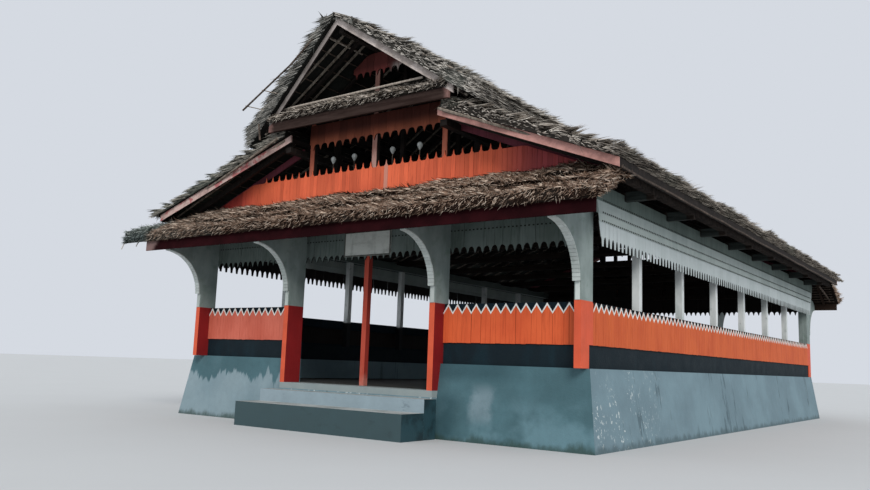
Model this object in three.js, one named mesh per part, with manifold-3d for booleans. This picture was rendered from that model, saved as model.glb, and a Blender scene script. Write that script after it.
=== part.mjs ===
// Baileo, an open-sided village meeting house on a battered masonry plinth.
// Millimetres, +Z up. The entrance gable faces -Y, the long sides face -X and +X.
// The origin is on the ground at the centre of the plan.
import * as THREE from 'three';
import { mergeVertices } from 'three/addons/utils/BufferGeometryUtils.js';
import Module from 'manifold-3d';

const wasm = await Module();
wasm.setup();

// Driving dimensions

const gap = 0.3;
const plan = { halfWidth: 4150, halfLength: 7175 };
const level = {
  floor: 710, slab: 610, plinthTop: 1120, parapetTop: 1440, railTop: 2020,
  toothTip: 2830, toothRoot: 2925, beamBottom: 3330, beamTop: 3450, plateTop: 3600,
};
const wall = { foot: 196, top: 40, setBack: 20, inner: 250 };
const rail = { board: 22, depth: 90, pitch: 140.6, toothHeight: 90, bars: [[1440.3, 1490], [1880, 2020]], sideGap: 0.4 };
const post = { size: 120, outer: 4060, endInset: 100, bays: 7, back: 145, front: 25 };
const fin = {
  thickness: 103, front: 244, back: 123.7, lip: 40, curveFoot: 2300, curveTop: 3060, reach: 1059.7,
  topRise: 3200, topFlat: 3318, railNotch: 2040, nose: 5, curveSteps: 14,
};
const finPlaces = { left: -3930, midLeft: -1506, midRight: 1662, right: 4098.5 };
const steps = { left: -1700, right: 1800, lowTread: 390, highTread: 590, lowFront: 1075, highFront: 545 };
const valance = {
  plane: 4235, board: 25, lap: 8, seams: [3160, 3300, 3430], top: 3600,
  flare: 95, seamFlare: 38, shelf: 40, shelfInset: 75,
};
const frontValance = { back: 7025.3, board: 25, halfWidth: 3930, top: 3449, pitch: 140 };
const entryPost = { x: -40, y: -6965, size: 95 };
const board = { left: -520, right: 510, bottom: 2890, top: 3320, thickness: 30 };

const mainSlope = 0.4026;
const main = {
  eave: 4844, eaveBottom: 3730, boardDepth: 130, inner: 1640, lowFront: 7791, highFront: 7435,
  thatchEave: 4950, thatchInner: 1720, eaveThatch: 170, innerThatch: 250, verge: 130, bargeThickness: 30,
};
const mainRafter = {
  bottom: 3720, width: 60, depth: 110, batten: 30, battenWidth: 50, lap: 20, inner: 1710,
  spacing: 1200, rows: 5, ends: [6800, 7280], eaveBoard: 30,
};
const upperSlope = 0.6746;
const upper = {
  apex: 6650, boardDepth: 130, reach: 2050, apexFront: 8107, lean: 0.243,
  thatchReach: 2600, ridgeThatch: 100, eaveThatch: 300, verge: 150, bargeThickness: 30,
};
const upperRafter = {
  bottom: 6690, width: 60, depth: 60, batten: 30, battenWidth: 50, lap: 20, reach: 2200,
  spacing: 1180, rows: 5, ends: [6800, 7400],
};
const tie = { halfSpan: 4740, width: 100, housing: 10, bottom: 3600, top: 3740, offsets: [890, 2660, 4430, 6200] };
const queen = { inner: 1560, outer: 1700 };
const purlin = { outer: 1800, bottom: 4845, top: 4945, reach: 7390 };
const upperPurlin = { bottom: 5443, top: 5543, reach: 7600 };
const eavePurlin = { inner: 4650, outer: 4750, bottom: 3657, top: 3757, reach: 7600 };
const ridge = { half: 50, bottom: 6550, top: 6655, reach: 8000 };

const pent = {
  front: 8237, edge: 8400, back: 7037, slope: 0.504, bottom: 3265, thatch: 170, left: -5300, right: 4850,
  fasciaLeft: -4540, fasciaRight: 4740, fasciaBottom: 3060, fasciaTop: 3252, fasciaBoard: 25,
  rafterDepth: 60, rafterWidth: 50, rafters: [0, 1100, 2200, 3300, 4400], ledgerBottom: 3760, ledgerDepth: 53,
};
const gable = {
  face: 7037, board: 25, halfWidth: 3930, bottom: 3460, bandTop: 4460, pointHeight: 90, pitch: 118,
  posts: [-1500, 0, 1500], post: 100, sidePostTop: 5456, sill: 60,
  valanceTip: 4930, valanceRoot: 5010, valanceTop: 5300, valanceHalf: 1550, toothPitch: 155,
  upperTip: 6130, upperRoot: 6200, upperPitch: 150, clearance: 12,
};
const beam = { halfWidth: 2000, front: 7660, back: 7610, bottom: 5190, top: 5370 };
const upperPent = { front: 7720, back: 7060, slope: 0.5, bottom: 5370.5, thatch: 110, halfWidth: 2000, slot: 5 };
const cut = { length: 9000, height: 2000, corner: 1000, core: 1500, overrun: 400 };

// Finishes

const finish = (color, roughness = 0.85, metalness = 0) =>
  new THREE.MeshStandardMaterial({ color, roughness, metalness });
const finishes = {
  plinth: finish(0x768a93, 0.9),
  concrete: finish(0x8e908b, 0.9),
  orange: finish(0xc9593a, 0.7),
  white: finish(0xb9c0bf, 0.7),
  red: finish(0x3b0f12, 0.7),
  faded: finish(0xa98780, 0.8),
  thatch: finish(0x6b6157, 1),
  dark: finish(0x3a2f29, 0.9),
};

// Solids

function solid(geometry) {
  const bare = new THREE.BufferGeometry();
  bare.setAttribute('position', geometry.getAttribute('position').clone());
  if (geometry.index) {
    bare.setIndex(geometry.index.clone());
  }
  const merged = mergeVertices(bare, 1e-3);
  const vertProperties = new Float32Array(merged.getAttribute('position').array);
  const triVerts = new Uint32Array(merged.index.array);
  return new wasm.Manifold(new wasm.Mesh({ numProp: 3, vertProperties, triVerts }));
}

function box(x0, x1, y0, y1, z0, z1) {
  const shape = new THREE.BoxGeometry(x1 - x0, y1 - y0, z1 - z0);
  return solid(shape.translate((x0 + x1) / 2, (y0 + y1) / 2, (z0 + z1) / 2));
}

function extruded(points, depth) {
  const shape = new THREE.Shape(points.map(([a, b]) => new THREE.Vector2(a, b)));
  return new THREE.ExtrudeGeometry(shape, { depth, bevelEnabled: false, steps: 1 });
}

// An outline in X and Z, run along Y from y0 to y1.
function alongY(points, y0, y1) {
  return solid(extruded(points, y1 - y0).rotateX(Math.PI / 2).translate(0, y1, 0));
}

// An outline in Y and Z, run along X from x0 to x1.
function alongX(points, x0, x1) {
  const turn = new THREE.Matrix4().makeBasis(
    new THREE.Vector3(0, 1, 0), new THREE.Vector3(0, 0, 1), new THREE.Vector3(1, 0, 0));
  return solid(extruded(points, x1 - x0).applyMatrix4(turn).translate(x0, 0, 0));
}

// An outline in X and Y lifted to a sloping plane, z = base + kx * x + ky * y, and given an upright thickness.
function sheet(points, thickness, base, kx, ky) {
  const slope = new THREE.Matrix4().set(1, 0, 0, 0, 0, 1, 0, 0, kx, ky, 1, base, 0, 0, 0, 1);
  return solid(extruded(points, thickness).applyMatrix4(slope));
}

function join(pieces) {
  return pieces.reduce((whole, piece) => whole.add(piece));
}

function mirrored(piece, axis) {
  return piece.mirror(axis === 'x' ? [1, 0, 0] : [0, 1, 0]);
}

const building = new THREE.Group();

function place(name, piece, material) {
  const mesh = piece.getMesh();
  const geometry = new THREE.BufferGeometry();
  geometry.setAttribute('position', new THREE.BufferAttribute(new Float32Array(mesh.vertProperties), 3));
  geometry.setIndex(new THREE.BufferAttribute(new Uint32Array(mesh.triVerts), 1));
  geometry.computeVertexNormals();
  const part = new THREE.Mesh(geometry, material);
  part.name = name;
  building.add(part);
}

// A zigzag between a root level and a tip level, from one end to the other.
function zigzag(from, to, pitch, root, tip) {
  const count = Math.max(1, Math.round(Math.abs(to - from) / pitch));
  const step = (to - from) / count;
  const points = [[from, root]];
  for (let k = 0; k < count; k += 1) {
    points.push([from + (k + 0.5) * step, tip], [from + (k + 1) * step, root]);
  }
  return points;
}

// Masonry

const innerX = plan.halfWidth - wall.inner;
const innerY = plan.halfLength - wall.inner;
const entryLeft = finPlaces.midLeft - fin.thickness / 2 - gap;
const entryRight = finPlaces.midRight + fin.thickness / 2 + gap;
const tongueFront = -(plan.halfLength + fin.front);

function plinthFill(bottom, top) {
  const field = box(-innerX + gap, innerX - gap, -innerY + gap, innerY - gap, bottom, top);
  return field.add(box(entryLeft, entryRight, tongueFront, -innerY + 10, bottom, top));
}

function wallProfile(half) {
  return [
    [half - wall.inner, 0], [half + wall.foot, 0], [half + wall.top, level.plinthTop],
    [half - wall.setBack, level.plinthTop], [half - wall.setBack, level.parapetTop],
    [half - wall.inner, level.parapetTop],
  ];
}

// The plan of one wall between its two mitred corners, for the wall on the side that the angle faces.
function mitre(halfAcross, halfAlong) {
  const inner = halfAcross - cut.core;
  const outer = halfAcross + cut.corner;
  return [
    [inner, -(halfAlong - cut.core) + gap], [outer, -(halfAlong + cut.corner) + gap],
    [outer, halfAlong + cut.corner - gap], [inner, halfAlong - cut.core - gap],
  ];
}

function plinthWalls() {
  const sideCut = solid(extruded(mitre(plan.halfWidth, plan.halfLength), cut.height));
  const run = plan.halfLength + cut.overrun;
  const side = alongY(wallProfile(plan.halfWidth), -run, run).intersect(sideCut);
  const endPlan = mitre(plan.halfLength, plan.halfWidth).map(([a, b]) => [b, a]).reverse();
  const endCut = solid(extruded(endPlan, cut.height));
  const width = plan.halfWidth + cut.overrun;
  const end = alongX(wallProfile(plan.halfLength), -width, width).intersect(endCut);
  const front = mirrored(end, 'y');
  const leftPart = box(-2 * width, entryLeft - gap, -2 * run, 0, 0, cut.height);
  const rightPart = box(entryRight + gap, 2 * width, -2 * run, 0, 0, cut.height);
  place('plinth_wall_right', side, finishes.plinth);
  place('plinth_wall_left', mirrored(side, 'x'), finishes.plinth);
  place('plinth_wall_back', end, finishes.plinth);
  place('plinth_wall_front_left', front.intersect(leftPart), finishes.plinth);
  place('plinth_wall_front_right', front.intersect(rightPart), finishes.plinth);
}

function entranceSteps() {
  const lowFront = -(plan.halfLength + steps.lowFront);
  const highFront = -(plan.halfLength + steps.highFront);
  const low = box(steps.left, steps.right, lowFront, highFront - gap, 0, steps.lowTread);
  const high = box(steps.left, steps.right, highFront, tongueFront - gap, 0, steps.highTread);
  place('step_low', low, finishes.concrete);
  place('step_high', high, finishes.concrete);
}

place('plinth_core', plinthFill(0, level.slab), finishes.plinth);
place('floor_slab', plinthFill(level.slab + gap, level.floor), finishes.concrete);
plinthWalls();
entranceSteps();

// Rails of upright boards with pointed tops

function railBoards(from, to) {
  const tops = zigzag(to, from, rail.pitch, level.railTop - rail.toothHeight, level.railTop);
  return [[from, level.parapetTop + gap], [to, level.parapetTop + gap], ...tops];
}

function railBars(across0, across1, from, to, turned) {
  return rail.bars.map(([z0, z1]) => (turned
    ? box(across0, across1, from, to, z0, z1)
    : box(from, to, across0, across1, z0, z1)));
}

const sideEnd = plan.halfLength - post.back - rail.sideGap;
const finHalf = fin.thickness / 2 + gap;

function sideRail() {
  const outer = plan.halfWidth;
  const boards = alongX(railBoards(-sideEnd, sideEnd), outer - rail.board, outer);
  const inner = outer - rail.depth + gap;
  return join([boards, ...railBars(inner, outer - rail.board + 1, -sideEnd, sideEnd, true)]);
}

// A rail across the gable end, with slots where fins stand in front of its bars.
function endRail(from, to, slots) {
  const outer = plan.halfLength;
  const boards = alongY(railBoards(from, to), outer - rail.board, outer);
  const bars = railBars(outer - rail.depth, outer - rail.board + 1, from, to, false);
  const slot = [outer - rail.board - 1, outer + 1, level.plinthTop, level.toothTip];
  const cuts = slots.map((x) => box(x - finHalf, x + finHalf, ...slot));
  return join([cuts.reduce((whole, piece) => whole.subtract(piece), boards), ...bars]);
}

place('rail_right', sideRail(), finishes.orange);
place('rail_left', mirrored(sideRail(), 'x'), finishes.orange);
const leftBay = [finPlaces.left + finHalf, finPlaces.midLeft - finHalf];
const rightBay = [finPlaces.midRight + finHalf, post.outer - post.size - gap];
place('rail_front_left', mirrored(endRail(...leftBay, []), 'y'), finishes.orange);
place('rail_front_right', mirrored(endRail(...rightBay, []), 'y'), finishes.orange);
const backSlots = [finPlaces.midLeft, finPlaces.midRight];
place('rail_back', endRail(leftBay[0], rightBay[1], backSlots), finishes.orange);

// Fins, the flat posts of the gable ends, each with a quarter-round bracket out to the pent roof

function finOutline(kind) {
  const front = plan.halfLength + fin.front;
  const back = plan.halfLength - fin.back;
  const tip = plan.halfLength + fin.reach;
  const underside = (y) => fin.topRise + pent.slope * (pent.front - y);
  const flatAt = pent.front - (fin.topFlat - fin.topRise) / pent.slope;
  const points = [];
  if (kind === 'entry') {
    points.push([back, level.floor], [front, level.floor]);
  } else {
    const face = plan.halfLength - wall.setBack;
    const stop = kind === 'corner' ? level.parapetTop + gap : fin.railNotch;
    points.push([back, stop], [face, stop], [face, level.plinthTop + gap], [front, level.plinthTop + gap]);
  }
  points.push([front, fin.curveFoot]);
  const curve = new THREE.EllipseCurve(
    tip - fin.nose, fin.curveFoot, tip - fin.nose - front - fin.lip, fin.curveTop - fin.curveFoot,
    Math.PI, Math.PI / 2, true);
  curve.getPoints(fin.curveSteps).forEach((p) => points.push([p.x, p.y]));
  points.push([tip, fin.curveTop], [tip, underside(tip)], [flatAt, fin.topFlat], [back, fin.topFlat]);
  return points;
}

function finSolid(kind, x) {
  return alongX(finOutline(kind), x - fin.thickness / 2, x + fin.thickness / 2);
}

// A corner fin carries the corner post, and a short closing board beside it.
function cornerFin(x) {
  const sign = Math.sign(x);
  const span = (a, b) => (sign > 0 ? [a, b] : [-b, -a]);
  const postY = [plan.halfLength - post.back, plan.halfLength - post.front];
  const upright = box(...span(post.outer - post.size, post.outer), ...postY, level.parapetTop + gap, level.beamTop);
  const inner = Math.abs(x) - fin.thickness / 2 + 1;
  const closing = [plan.halfLength - post.back, plan.halfLength];
  const filler = box(...span(inner, plan.halfWidth), ...closing, level.parapetTop + gap, level.railTop);
  return join([finSolid('corner', x), upright, filler]);
}

place('fin_front_left', mirrored(cornerFin(finPlaces.left), 'y'), finishes.white);
place('fin_entrance_left', mirrored(finSolid('entry', finPlaces.midLeft), 'y'), finishes.white);
place('fin_entrance_right', mirrored(finSolid('entry', finPlaces.midRight), 'y'), finishes.white);
place('fin_front_right', mirrored(cornerFin(finPlaces.right), 'y'), finishes.white);
place('fin_back_left', cornerFin(finPlaces.left), finishes.white);
place('fin_back_mid_left', finSolid('middle', finPlaces.midLeft), finishes.white);
place('fin_back_mid_right', finSolid('middle', finPlaces.midRight), finishes.white);
place('fin_back_right', cornerFin(finPlaces.right), finishes.white);

// Posts and plate of the long sides

function colonnade() {
  const inner = post.outer - post.size;
  const first = plan.halfLength - post.endInset;
  const spacing = (2 * first) / post.bays;
  const half = post.size / 2;
  const plateEnd = plan.halfLength - post.front;
  const pieces = [box(inner, post.outer, -plateEnd, plateEnd, level.beamTop + gap, level.plateTop)];
  for (let k = 1; k < post.bays; k += 1) {
    const y = -first + k * spacing;
    pieces.push(box(inner, post.outer, y - half, y + half, level.parapetTop, level.beamTop + 1));
  }
  return join(pieces);
}

place('colonnade_right', colonnade(), finishes.white);
place('colonnade_left', mirrored(colonnade(), 'x'), finishes.white);

// Valances

function sideValance() {
  const bottomEnd = plan.halfLength - post.back;
  const topEnd = plan.halfLength + valance.flare;
  const teeth = zigzag(-bottomEnd, bottomEnd, rail.pitch, level.toothRoot, level.toothTip);
  const outline = [...teeth, [topEnd, valance.top - gap], [-topEnd, valance.top - gap]];
  const inner = valance.plane;
  const pieces = [alongX(outline, inner, inner + valance.board)];
  valance.seams.forEach((z, k) => {
    const ends = plan.halfLength + valance.seamFlare;
    const face = inner + valance.board;
    pieces.push(box(face - 1, face + valance.lap * (k + 1), -ends, ends, z, valance.top - gap));
  });
  const shelfEnd = plan.halfLength - valance.shelfInset;
  const shelf = [post.outer + gap, inner + 1, -shelfEnd, shelfEnd, valance.top - valance.shelf, valance.top - gap];
  pieces.push(box(...shelf));
  return join(pieces);
}

function endValance() {
  const half = frontValance.halfWidth;
  const teeth = zigzag(-half, half, frontValance.pitch, level.toothRoot, level.toothTip);
  const outline = [...teeth, [half, frontValance.top], [-half, frontValance.top]];
  return alongY(outline, frontValance.back, frontValance.back + frontValance.board - 2 * gap);
}

place('valance_right', sideValance(), finishes.white);
place('valance_left', mirrored(sideValance(), 'x'), finishes.white);
place('valance_front', mirrored(endValance(), 'y'), finishes.white);
place('valance_back', endValance(), finishes.white);

// Entrance post and signboard

const ep = entryPost;
const epHalf = ep.size / 2;
place('entrance_post', box(ep.x - epHalf, ep.x + epHalf, ep.y - epHalf, ep.y + epHalf,
  level.floor, level.beamBottom - gap), finishes.orange);
const signFace = -(frontValance.back + frontValance.board);
place('signboard', box(board.left, board.right, signFace - board.thickness, signFace, board.bottom, board.top),
  finishes.white);

// Gable walls: head beam posts, picket band, hanging boards of the window and of the loft above it

const mainUnder = (x) => mainRafter.bottom + mainSlope * (main.eave - Math.abs(x));
const upperUnder = (x) => upperRafter.bottom - upperSlope * Math.abs(x);

function pickets() {
  const half = main.eave - (gable.bandTop + gable.pointHeight - mainRafter.bottom + gable.clearance) / mainSlope;
  const tops = zigzag(half, -half, gable.pitch, gable.bandTop, gable.bandTop + gable.pointHeight);
  const side = mainUnder(gable.halfWidth) - gable.clearance;
  const shoulder = main.eave - (gable.bandTop - mainRafter.bottom + gable.clearance) / mainSlope;
  return [
    [-gable.halfWidth, gable.bottom], [gable.halfWidth, gable.bottom], [gable.halfWidth, side],
    [shoulder, gable.bandTop], ...tops, [-shoulder, gable.bandTop], [-gable.halfWidth, side],
  ];
}

function gableWall() {
  const face = gable.face;
  const inner = face - gable.board;
  const postBack = inner - gable.post;
  const half = gable.post / 2;
  const pieces = [alongY(pickets(), inner, face)];
  gable.posts.forEach((x) => {
    const top = x === 0 ? ridge.bottom - gap : gable.sidePostTop;
    pieces.push(box(x - half, x + half, postBack, inner + 1, level.beamTop + gap, top));
  });
  pieces.push(box(-gable.halfWidth, gable.halfWidth, inner - gable.sill, inner + 1,
    gable.bottom, gable.bottom + gable.sill));
  const vh = gable.valanceHalf;
  const lower = zigzag(-vh, vh, gable.toothPitch, gable.valanceRoot, gable.valanceTip);
  pieces.push(alongY([...lower, [vh, gable.valanceTop], [-vh, gable.valanceTop]], inner, face));
  const uh = (upperRafter.bottom - gable.clearance - gable.upperRoot) / upperSlope;
  const teeth = zigzag(-uh, uh, gable.upperPitch, gable.upperRoot, gable.upperTip);
  const cap = ridge.bottom - gable.clearance;
  const capHalf = (upperRafter.bottom - gable.clearance - cap) / upperSlope;
  pieces.push(alongY([...teeth, [capHalf, cap], [-capHalf, cap]], inner, face));
  return join(pieces);
}

function headBeam() {
  const back = frontValance.back - gap;
  return box(-post.outer, post.outer, back - post.size, back, level.beamBottom, level.beamTop);
}

place('head_beam_front', mirrored(headBeam(), 'y'), finishes.dark);
place('head_beam_back', headBeam(), finishes.dark);
place('gable_front', mirrored(gableWall(), 'y'), finishes.orange);
place('gable_back', gableWall(), finishes.orange);

// Roof frame: tie beams with the eave purlins, and rows of posts that carry the purlins and the ridge

const tieRows = tie.offsets.flatMap((y) => [-y, y]);

function tieFrame() {
  const reach = eavePurlin.reach;
  const half = tie.width / 2;
  const pieces = tieRows.map((y) => box(-tie.halfSpan, tie.halfSpan, y - half, y + half, tie.bottom, tie.top));
  [[eavePurlin.inner, eavePurlin.outer], [-eavePurlin.outer, -eavePurlin.inner]].forEach(([x0, x1]) => {
    pieces.push(box(x0, x1, -reach, reach, eavePurlin.bottom, eavePurlin.top));
  });
  return join(pieces);
}

// Posts that stand on the tie beams and are housed in the beam above them.
function postRow(x0, x1, top) {
  const half = tie.width / 2 - tie.housing;
  return tieRows.map((y) => box(x0 + tie.housing, x1 - tie.housing, y - half, y + half, tie.top + gap, top));
}

function purlinFrame() {
  const p = purlin;
  const u = upperPurlin;
  return join([
    ...postRow(queen.inner, queen.outer, u.top - tie.housing),
    box(queen.outer - 3 * tie.housing, p.outer, -p.reach, p.reach, p.bottom, p.top),
    box(queen.inner, queen.outer, -u.reach, u.reach, u.bottom, u.top),
  ]);
}

function ridgeFrame() {
  const r = ridge;
  return join([
    ...postRow(-r.half, r.half, r.bottom + tie.housing),
    box(-r.half, r.half, -r.reach, r.reach, r.bottom, r.top),
  ]);
}

place('tie_frame', tieFrame(), finishes.dark);
place('purlin_frame_right', purlinFrame(), finishes.dark);
place('purlin_frame_left', mirrored(purlinFrame(), 'x'), finishes.dark);
place('ridge_frame', ridgeFrame(), finishes.dark);

// Main roof: rafters with battens and eave board, barge boards, thatch

const mainLean = (main.lowFront - main.highFront) / (main.eave - main.inner);
const mainFront = (x) => main.lowFront - mainLean * (main.eave - x);
const mainBase = (z) => z + mainSlope * main.eave;

function mainPlan(inner, outer, inset) {
  return [
    [inner, -mainFront(inner) + inset], [outer, -mainFront(outer) + inset],
    [outer, mainFront(outer) - inset], [inner, mainFront(inner) - inset],
  ];
}

// A plan strip along the whole roof, for what is cut to length afterwards.
function alongRoof(x0, x1) {
  return [[x0, -cut.length], [x1, -cut.length], [x1, cut.length], [x0, cut.length]];
}

function rafterRows({ spacing, rows, ends }) {
  const places = ends.flatMap((y) => [-y, y]);
  for (let k = -rows; k <= rows; k += 1) {
    places.push(k * spacing);
  }
  return places;
}

function mainRafters() {
  const r = mainRafter;
  const outer = main.eave - r.eaveBoard;
  const pieces = rafterRows(r).map((y) => {
    const y0 = y - r.width / 2;
    const x0 = r.inner + tie.housing;
    const strip = [[x0, y0], [outer, y0], [outer, y0 + r.width], [x0, y0 + r.width]];
    return sheet(strip, r.depth, mainBase(r.bottom), -mainSlope, 0);
  });
  pieces.push(sheet(alongRoof(r.inner, r.inner + r.battenWidth), r.batten + r.lap, mainBase(r.bottom + r.depth - r.lap), -mainSlope, 0));
  const boardTop = main.eaveBottom + main.boardDepth;
  pieces.push(box(outer - tie.housing, main.eave - gap, -cut.length, cut.length, main.eaveBottom, boardTop));
  const field = mainPlan(r.inner - tie.housing, main.eave + tie.housing, main.bargeThickness + gap);
  return join(pieces).intersect(solid(extruded(field, cut.length)));
}

function mainBarge() {
  const t = main.bargeThickness;
  const strip = [
    [main.inner, -mainFront(main.inner)], [main.eave, -mainFront(main.eave)],
    [main.eave, -mainFront(main.eave) + t], [main.inner, -mainFront(main.inner) + t],
  ];
  return sheet(strip, main.boardDepth, mainBase(main.eaveBottom), -mainSlope, 0);
}

// Thatch between its underside and a top plane that rises away from the eave, so it is thinner at its foot.
function mainThatch() {
  const outline = mainPlan(main.thatchInner, main.thatchEave, -main.verge);
  const base = mainBase(main.eaveBottom + main.boardDepth + gap);
  const swell = (main.innerThatch - main.eaveThatch) / (main.thatchEave - main.thatchInner);
  const topSlope = mainSlope + swell;
  const topBase = base + main.eaveThatch + swell * main.thatchEave;
  const above = sheet(alongRoof(0, cut.length), cut.length, topBase, -topSlope, 0);
  return sheet(outline, cut.corner, base, -mainSlope, 0).subtract(above);
}

place('rafters_right', mainRafters(), finishes.dark);
place('rafters_left', mirrored(mainRafters(), 'x'), finishes.dark);
place('barge_front_right', mainBarge(), finishes.faded);
place('barge_front_left', mirrored(mainBarge(), 'x'), finishes.faded);
place('barge_back_right', mirrored(mainBarge(), 'y'), finishes.faded);
place('barge_back_left', mirrored(mirrored(mainBarge(), 'x'), 'y'), finishes.faded);
place('thatch_right', mainThatch(), finishes.thatch);
place('thatch_left', mirrored(mainThatch(), 'x'), finishes.thatch);

// Upper roof, whose gables lean out to the apex

const upperFront = (x) => upper.apexFront - upper.lean * x;

function bothSlopes(half) {
  return half.add(mirrored(half, 'x'));
}

function upperPlan(reach, inset) {
  return [
    [0, -upperFront(0) + inset], [reach, -upperFront(reach) + inset],
    [reach, upperFront(reach) - inset], [0, upperFront(0) - inset],
  ];
}

function upperRafters() {
  const r = upperRafter;
  const pieces = rafterRows(r).map((y) => {
    const y0 = y - r.width / 2;
    const x0 = gap + tie.housing;
    const x1 = r.reach - tie.housing;
    const strip = [[x0, y0], [x1, y0], [x1, y0 + r.width], [x0, y0 + r.width]];
    return sheet(strip, r.depth, r.bottom, -upperSlope, 0);
  });
  [gap, r.reach - r.battenWidth].forEach((x) => {
    const base = r.bottom + r.depth - r.lap;
    pieces.push(sheet(alongRoof(x, x + r.battenWidth), r.batten + r.lap, base, -upperSlope, 0));
  });
  const field = upperPlan(r.reach + tie.housing, upper.bargeThickness + gap);
  return join(pieces).intersect(solid(extruded(field, cut.length)));
}

function upperBarge() {
  const t = upper.bargeThickness;
  const reach = upper.reach;
  const strip = [
    [0, -upperFront(0)], [reach, -upperFront(reach)], [reach, -upperFront(reach) + t], [0, -upperFront(0) + t],
  ];
  return bothSlopes(sheet(strip, upper.boardDepth, upper.apex, -upperSlope, 0));
}

// Thin at the ridge and thick at its foot.
function upperThatch() {
  const u = upper;
  const base = u.apex + u.boardDepth + gap;
  const topSlope = upperSlope - (u.eaveThatch - u.ridgeThatch) / u.thatchReach;
  const above = sheet(alongRoof(-tie.housing, cut.length), cut.length, base + u.ridgeThatch, -topSlope, 0);
  return bothSlopes(sheet(upperPlan(u.thatchReach, -u.verge), cut.corner, base, -upperSlope, 0).subtract(above));
}

place('upper_rafters_right', upperRafters(), finishes.dark);
place('upper_rafters_left', mirrored(upperRafters(), 'x'), finishes.dark);
place('upper_barge_front', upperBarge(), finishes.faded);
place('upper_barge_back', mirrored(upperBarge(), 'y'), finishes.faded);
place('upper_thatch', upperThatch(), finishes.thatch);

// Space taken by the upper roof's underside, for what is fitted up to it.
function aboveUpper(clearance) {
  return bothSlopes(sheet(alongRoof(0, cut.length), cut.length, upper.apex - clearance, -upperSlope, 0));
}

function upperBeam() {
  const b = beam;
  return box(-b.halfWidth, b.halfWidth, b.back, b.front, b.bottom, b.top).subtract(aboveUpper(gap));
}

function upperPentThatch() {
  const u = upperPent;
  const outline = [[-u.halfWidth, u.back], [u.halfWidth, u.back], [u.halfWidth, u.front], [-u.halfWidth, u.front]];
  const strip = sheet(outline, u.thatch, u.bottom + u.slope * beam.front, 0, -u.slope);
  const slots = [1, -1].map((s) => {
    const x = [s * (queen.inner - u.slot), s * (queen.outer + u.slot)].sort((a, b) => a - b);
    return box(...x, 0, cut.length, upperPurlin.bottom - u.slot, cut.length);
  });
  return slots.reduce((whole, slot) => whole.subtract(slot), strip.subtract(aboveUpper(1)));
}

place('upper_beam_front', mirrored(upperBeam(), 'y'), finishes.dark);
place('upper_beam_back', upperBeam(), finishes.dark);
place('upper_pent_front', mirrored(upperPentThatch(), 'y'), finishes.thatch);
place('upper_pent_back', upperPentThatch(), finishes.thatch);

// Pent roofs over the gable ends

const pentBase = (z) => z + pent.slope * pent.front;

function pentFrame() {
  const p = pent;
  const run = [p.fasciaLeft, p.fasciaRight];
  const pieces = [box(...run, p.front, p.front + p.fasciaBoard, p.fasciaBottom, p.fasciaTop)];
  const back = p.back + gap;
  p.rafters.flatMap((x) => (x === 0 ? [0] : [-x, x])).forEach((x) => {
    const x0 = x - p.rafterWidth / 2;
    const x1 = x0 + p.rafterWidth;
    const strip = [[x0, back], [x1, back], [x1, p.front + 1], [x0, p.front + 1]];
    pieces.push(sheet(strip, p.rafterDepth - gap, pentBase(p.bottom - p.rafterDepth), 0, -p.slope));
  });
  const ledgerTop = p.bottom + p.slope * (p.front - back - p.ledgerDepth) - gap;
  pieces.push(box(...run, back, back + p.ledgerDepth, p.ledgerBottom, ledgerTop));
  return join(pieces).subtract(mainRoofSpace(5));
}

// Space taken by the main roof and its eave purlins, for what passes beneath it.
function mainRoofSpace(clearance) {
  const outline = mainPlan(cut.corner, main.thatchEave + clearance, -main.verge - clearance);
  const slab = sheet(outline, cut.height, mainBase(mainRafter.bottom - clearance), -mainSlope, 0);
  const beamSpace = box(eavePurlin.inner - clearance, eavePurlin.outer + clearance,
    -eavePurlin.reach - clearance, eavePurlin.reach + clearance, eavePurlin.bottom - clearance, cut.length);
  return bothSlopes(slab.add(beamSpace));
}

function pentThatch() {
  const p = pent;
  const back = p.back + gap;
  const outline = [[p.left, back], [p.right, back], [p.right, p.edge], [p.left, p.edge]];
  return sheet(outline, p.thatch, pentBase(p.bottom), 0, -p.slope).subtract(mainRoofSpace(10));
}

place('pent_frame_front', mirrored(pentFrame(), 'y'), finishes.red);
place('pent_frame_back', pentFrame(), finishes.red);
place('pent_thatch_front', mirrored(pentThatch(), 'y'), finishes.thatch);
place('pent_thatch_back', pentThatch(), finishes.thatch);

export default building;
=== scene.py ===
import bpy
import bmesh
import math
import random
from mathutils import Matrix, Vector


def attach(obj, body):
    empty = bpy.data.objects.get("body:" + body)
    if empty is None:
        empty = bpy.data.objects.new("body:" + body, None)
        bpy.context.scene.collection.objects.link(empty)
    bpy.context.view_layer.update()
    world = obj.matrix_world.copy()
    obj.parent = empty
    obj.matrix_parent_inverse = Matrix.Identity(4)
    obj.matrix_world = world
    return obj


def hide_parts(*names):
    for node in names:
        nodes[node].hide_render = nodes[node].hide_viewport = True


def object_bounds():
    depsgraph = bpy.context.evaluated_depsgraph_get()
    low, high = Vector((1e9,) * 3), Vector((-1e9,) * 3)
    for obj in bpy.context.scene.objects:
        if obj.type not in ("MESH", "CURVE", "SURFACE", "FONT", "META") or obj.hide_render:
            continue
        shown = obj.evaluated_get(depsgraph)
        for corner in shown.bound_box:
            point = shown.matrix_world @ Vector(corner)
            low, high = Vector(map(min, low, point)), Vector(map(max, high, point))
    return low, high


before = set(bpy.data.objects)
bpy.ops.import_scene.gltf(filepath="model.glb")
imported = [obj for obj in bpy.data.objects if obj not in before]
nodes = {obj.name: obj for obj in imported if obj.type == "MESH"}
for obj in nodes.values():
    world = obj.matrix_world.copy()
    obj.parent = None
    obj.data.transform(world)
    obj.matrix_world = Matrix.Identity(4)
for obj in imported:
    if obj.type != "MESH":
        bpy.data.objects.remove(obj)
cadLow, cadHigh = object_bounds()
scene = bpy.context.scene

# Wiring shared by the finishes and the geometry trees.


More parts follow.
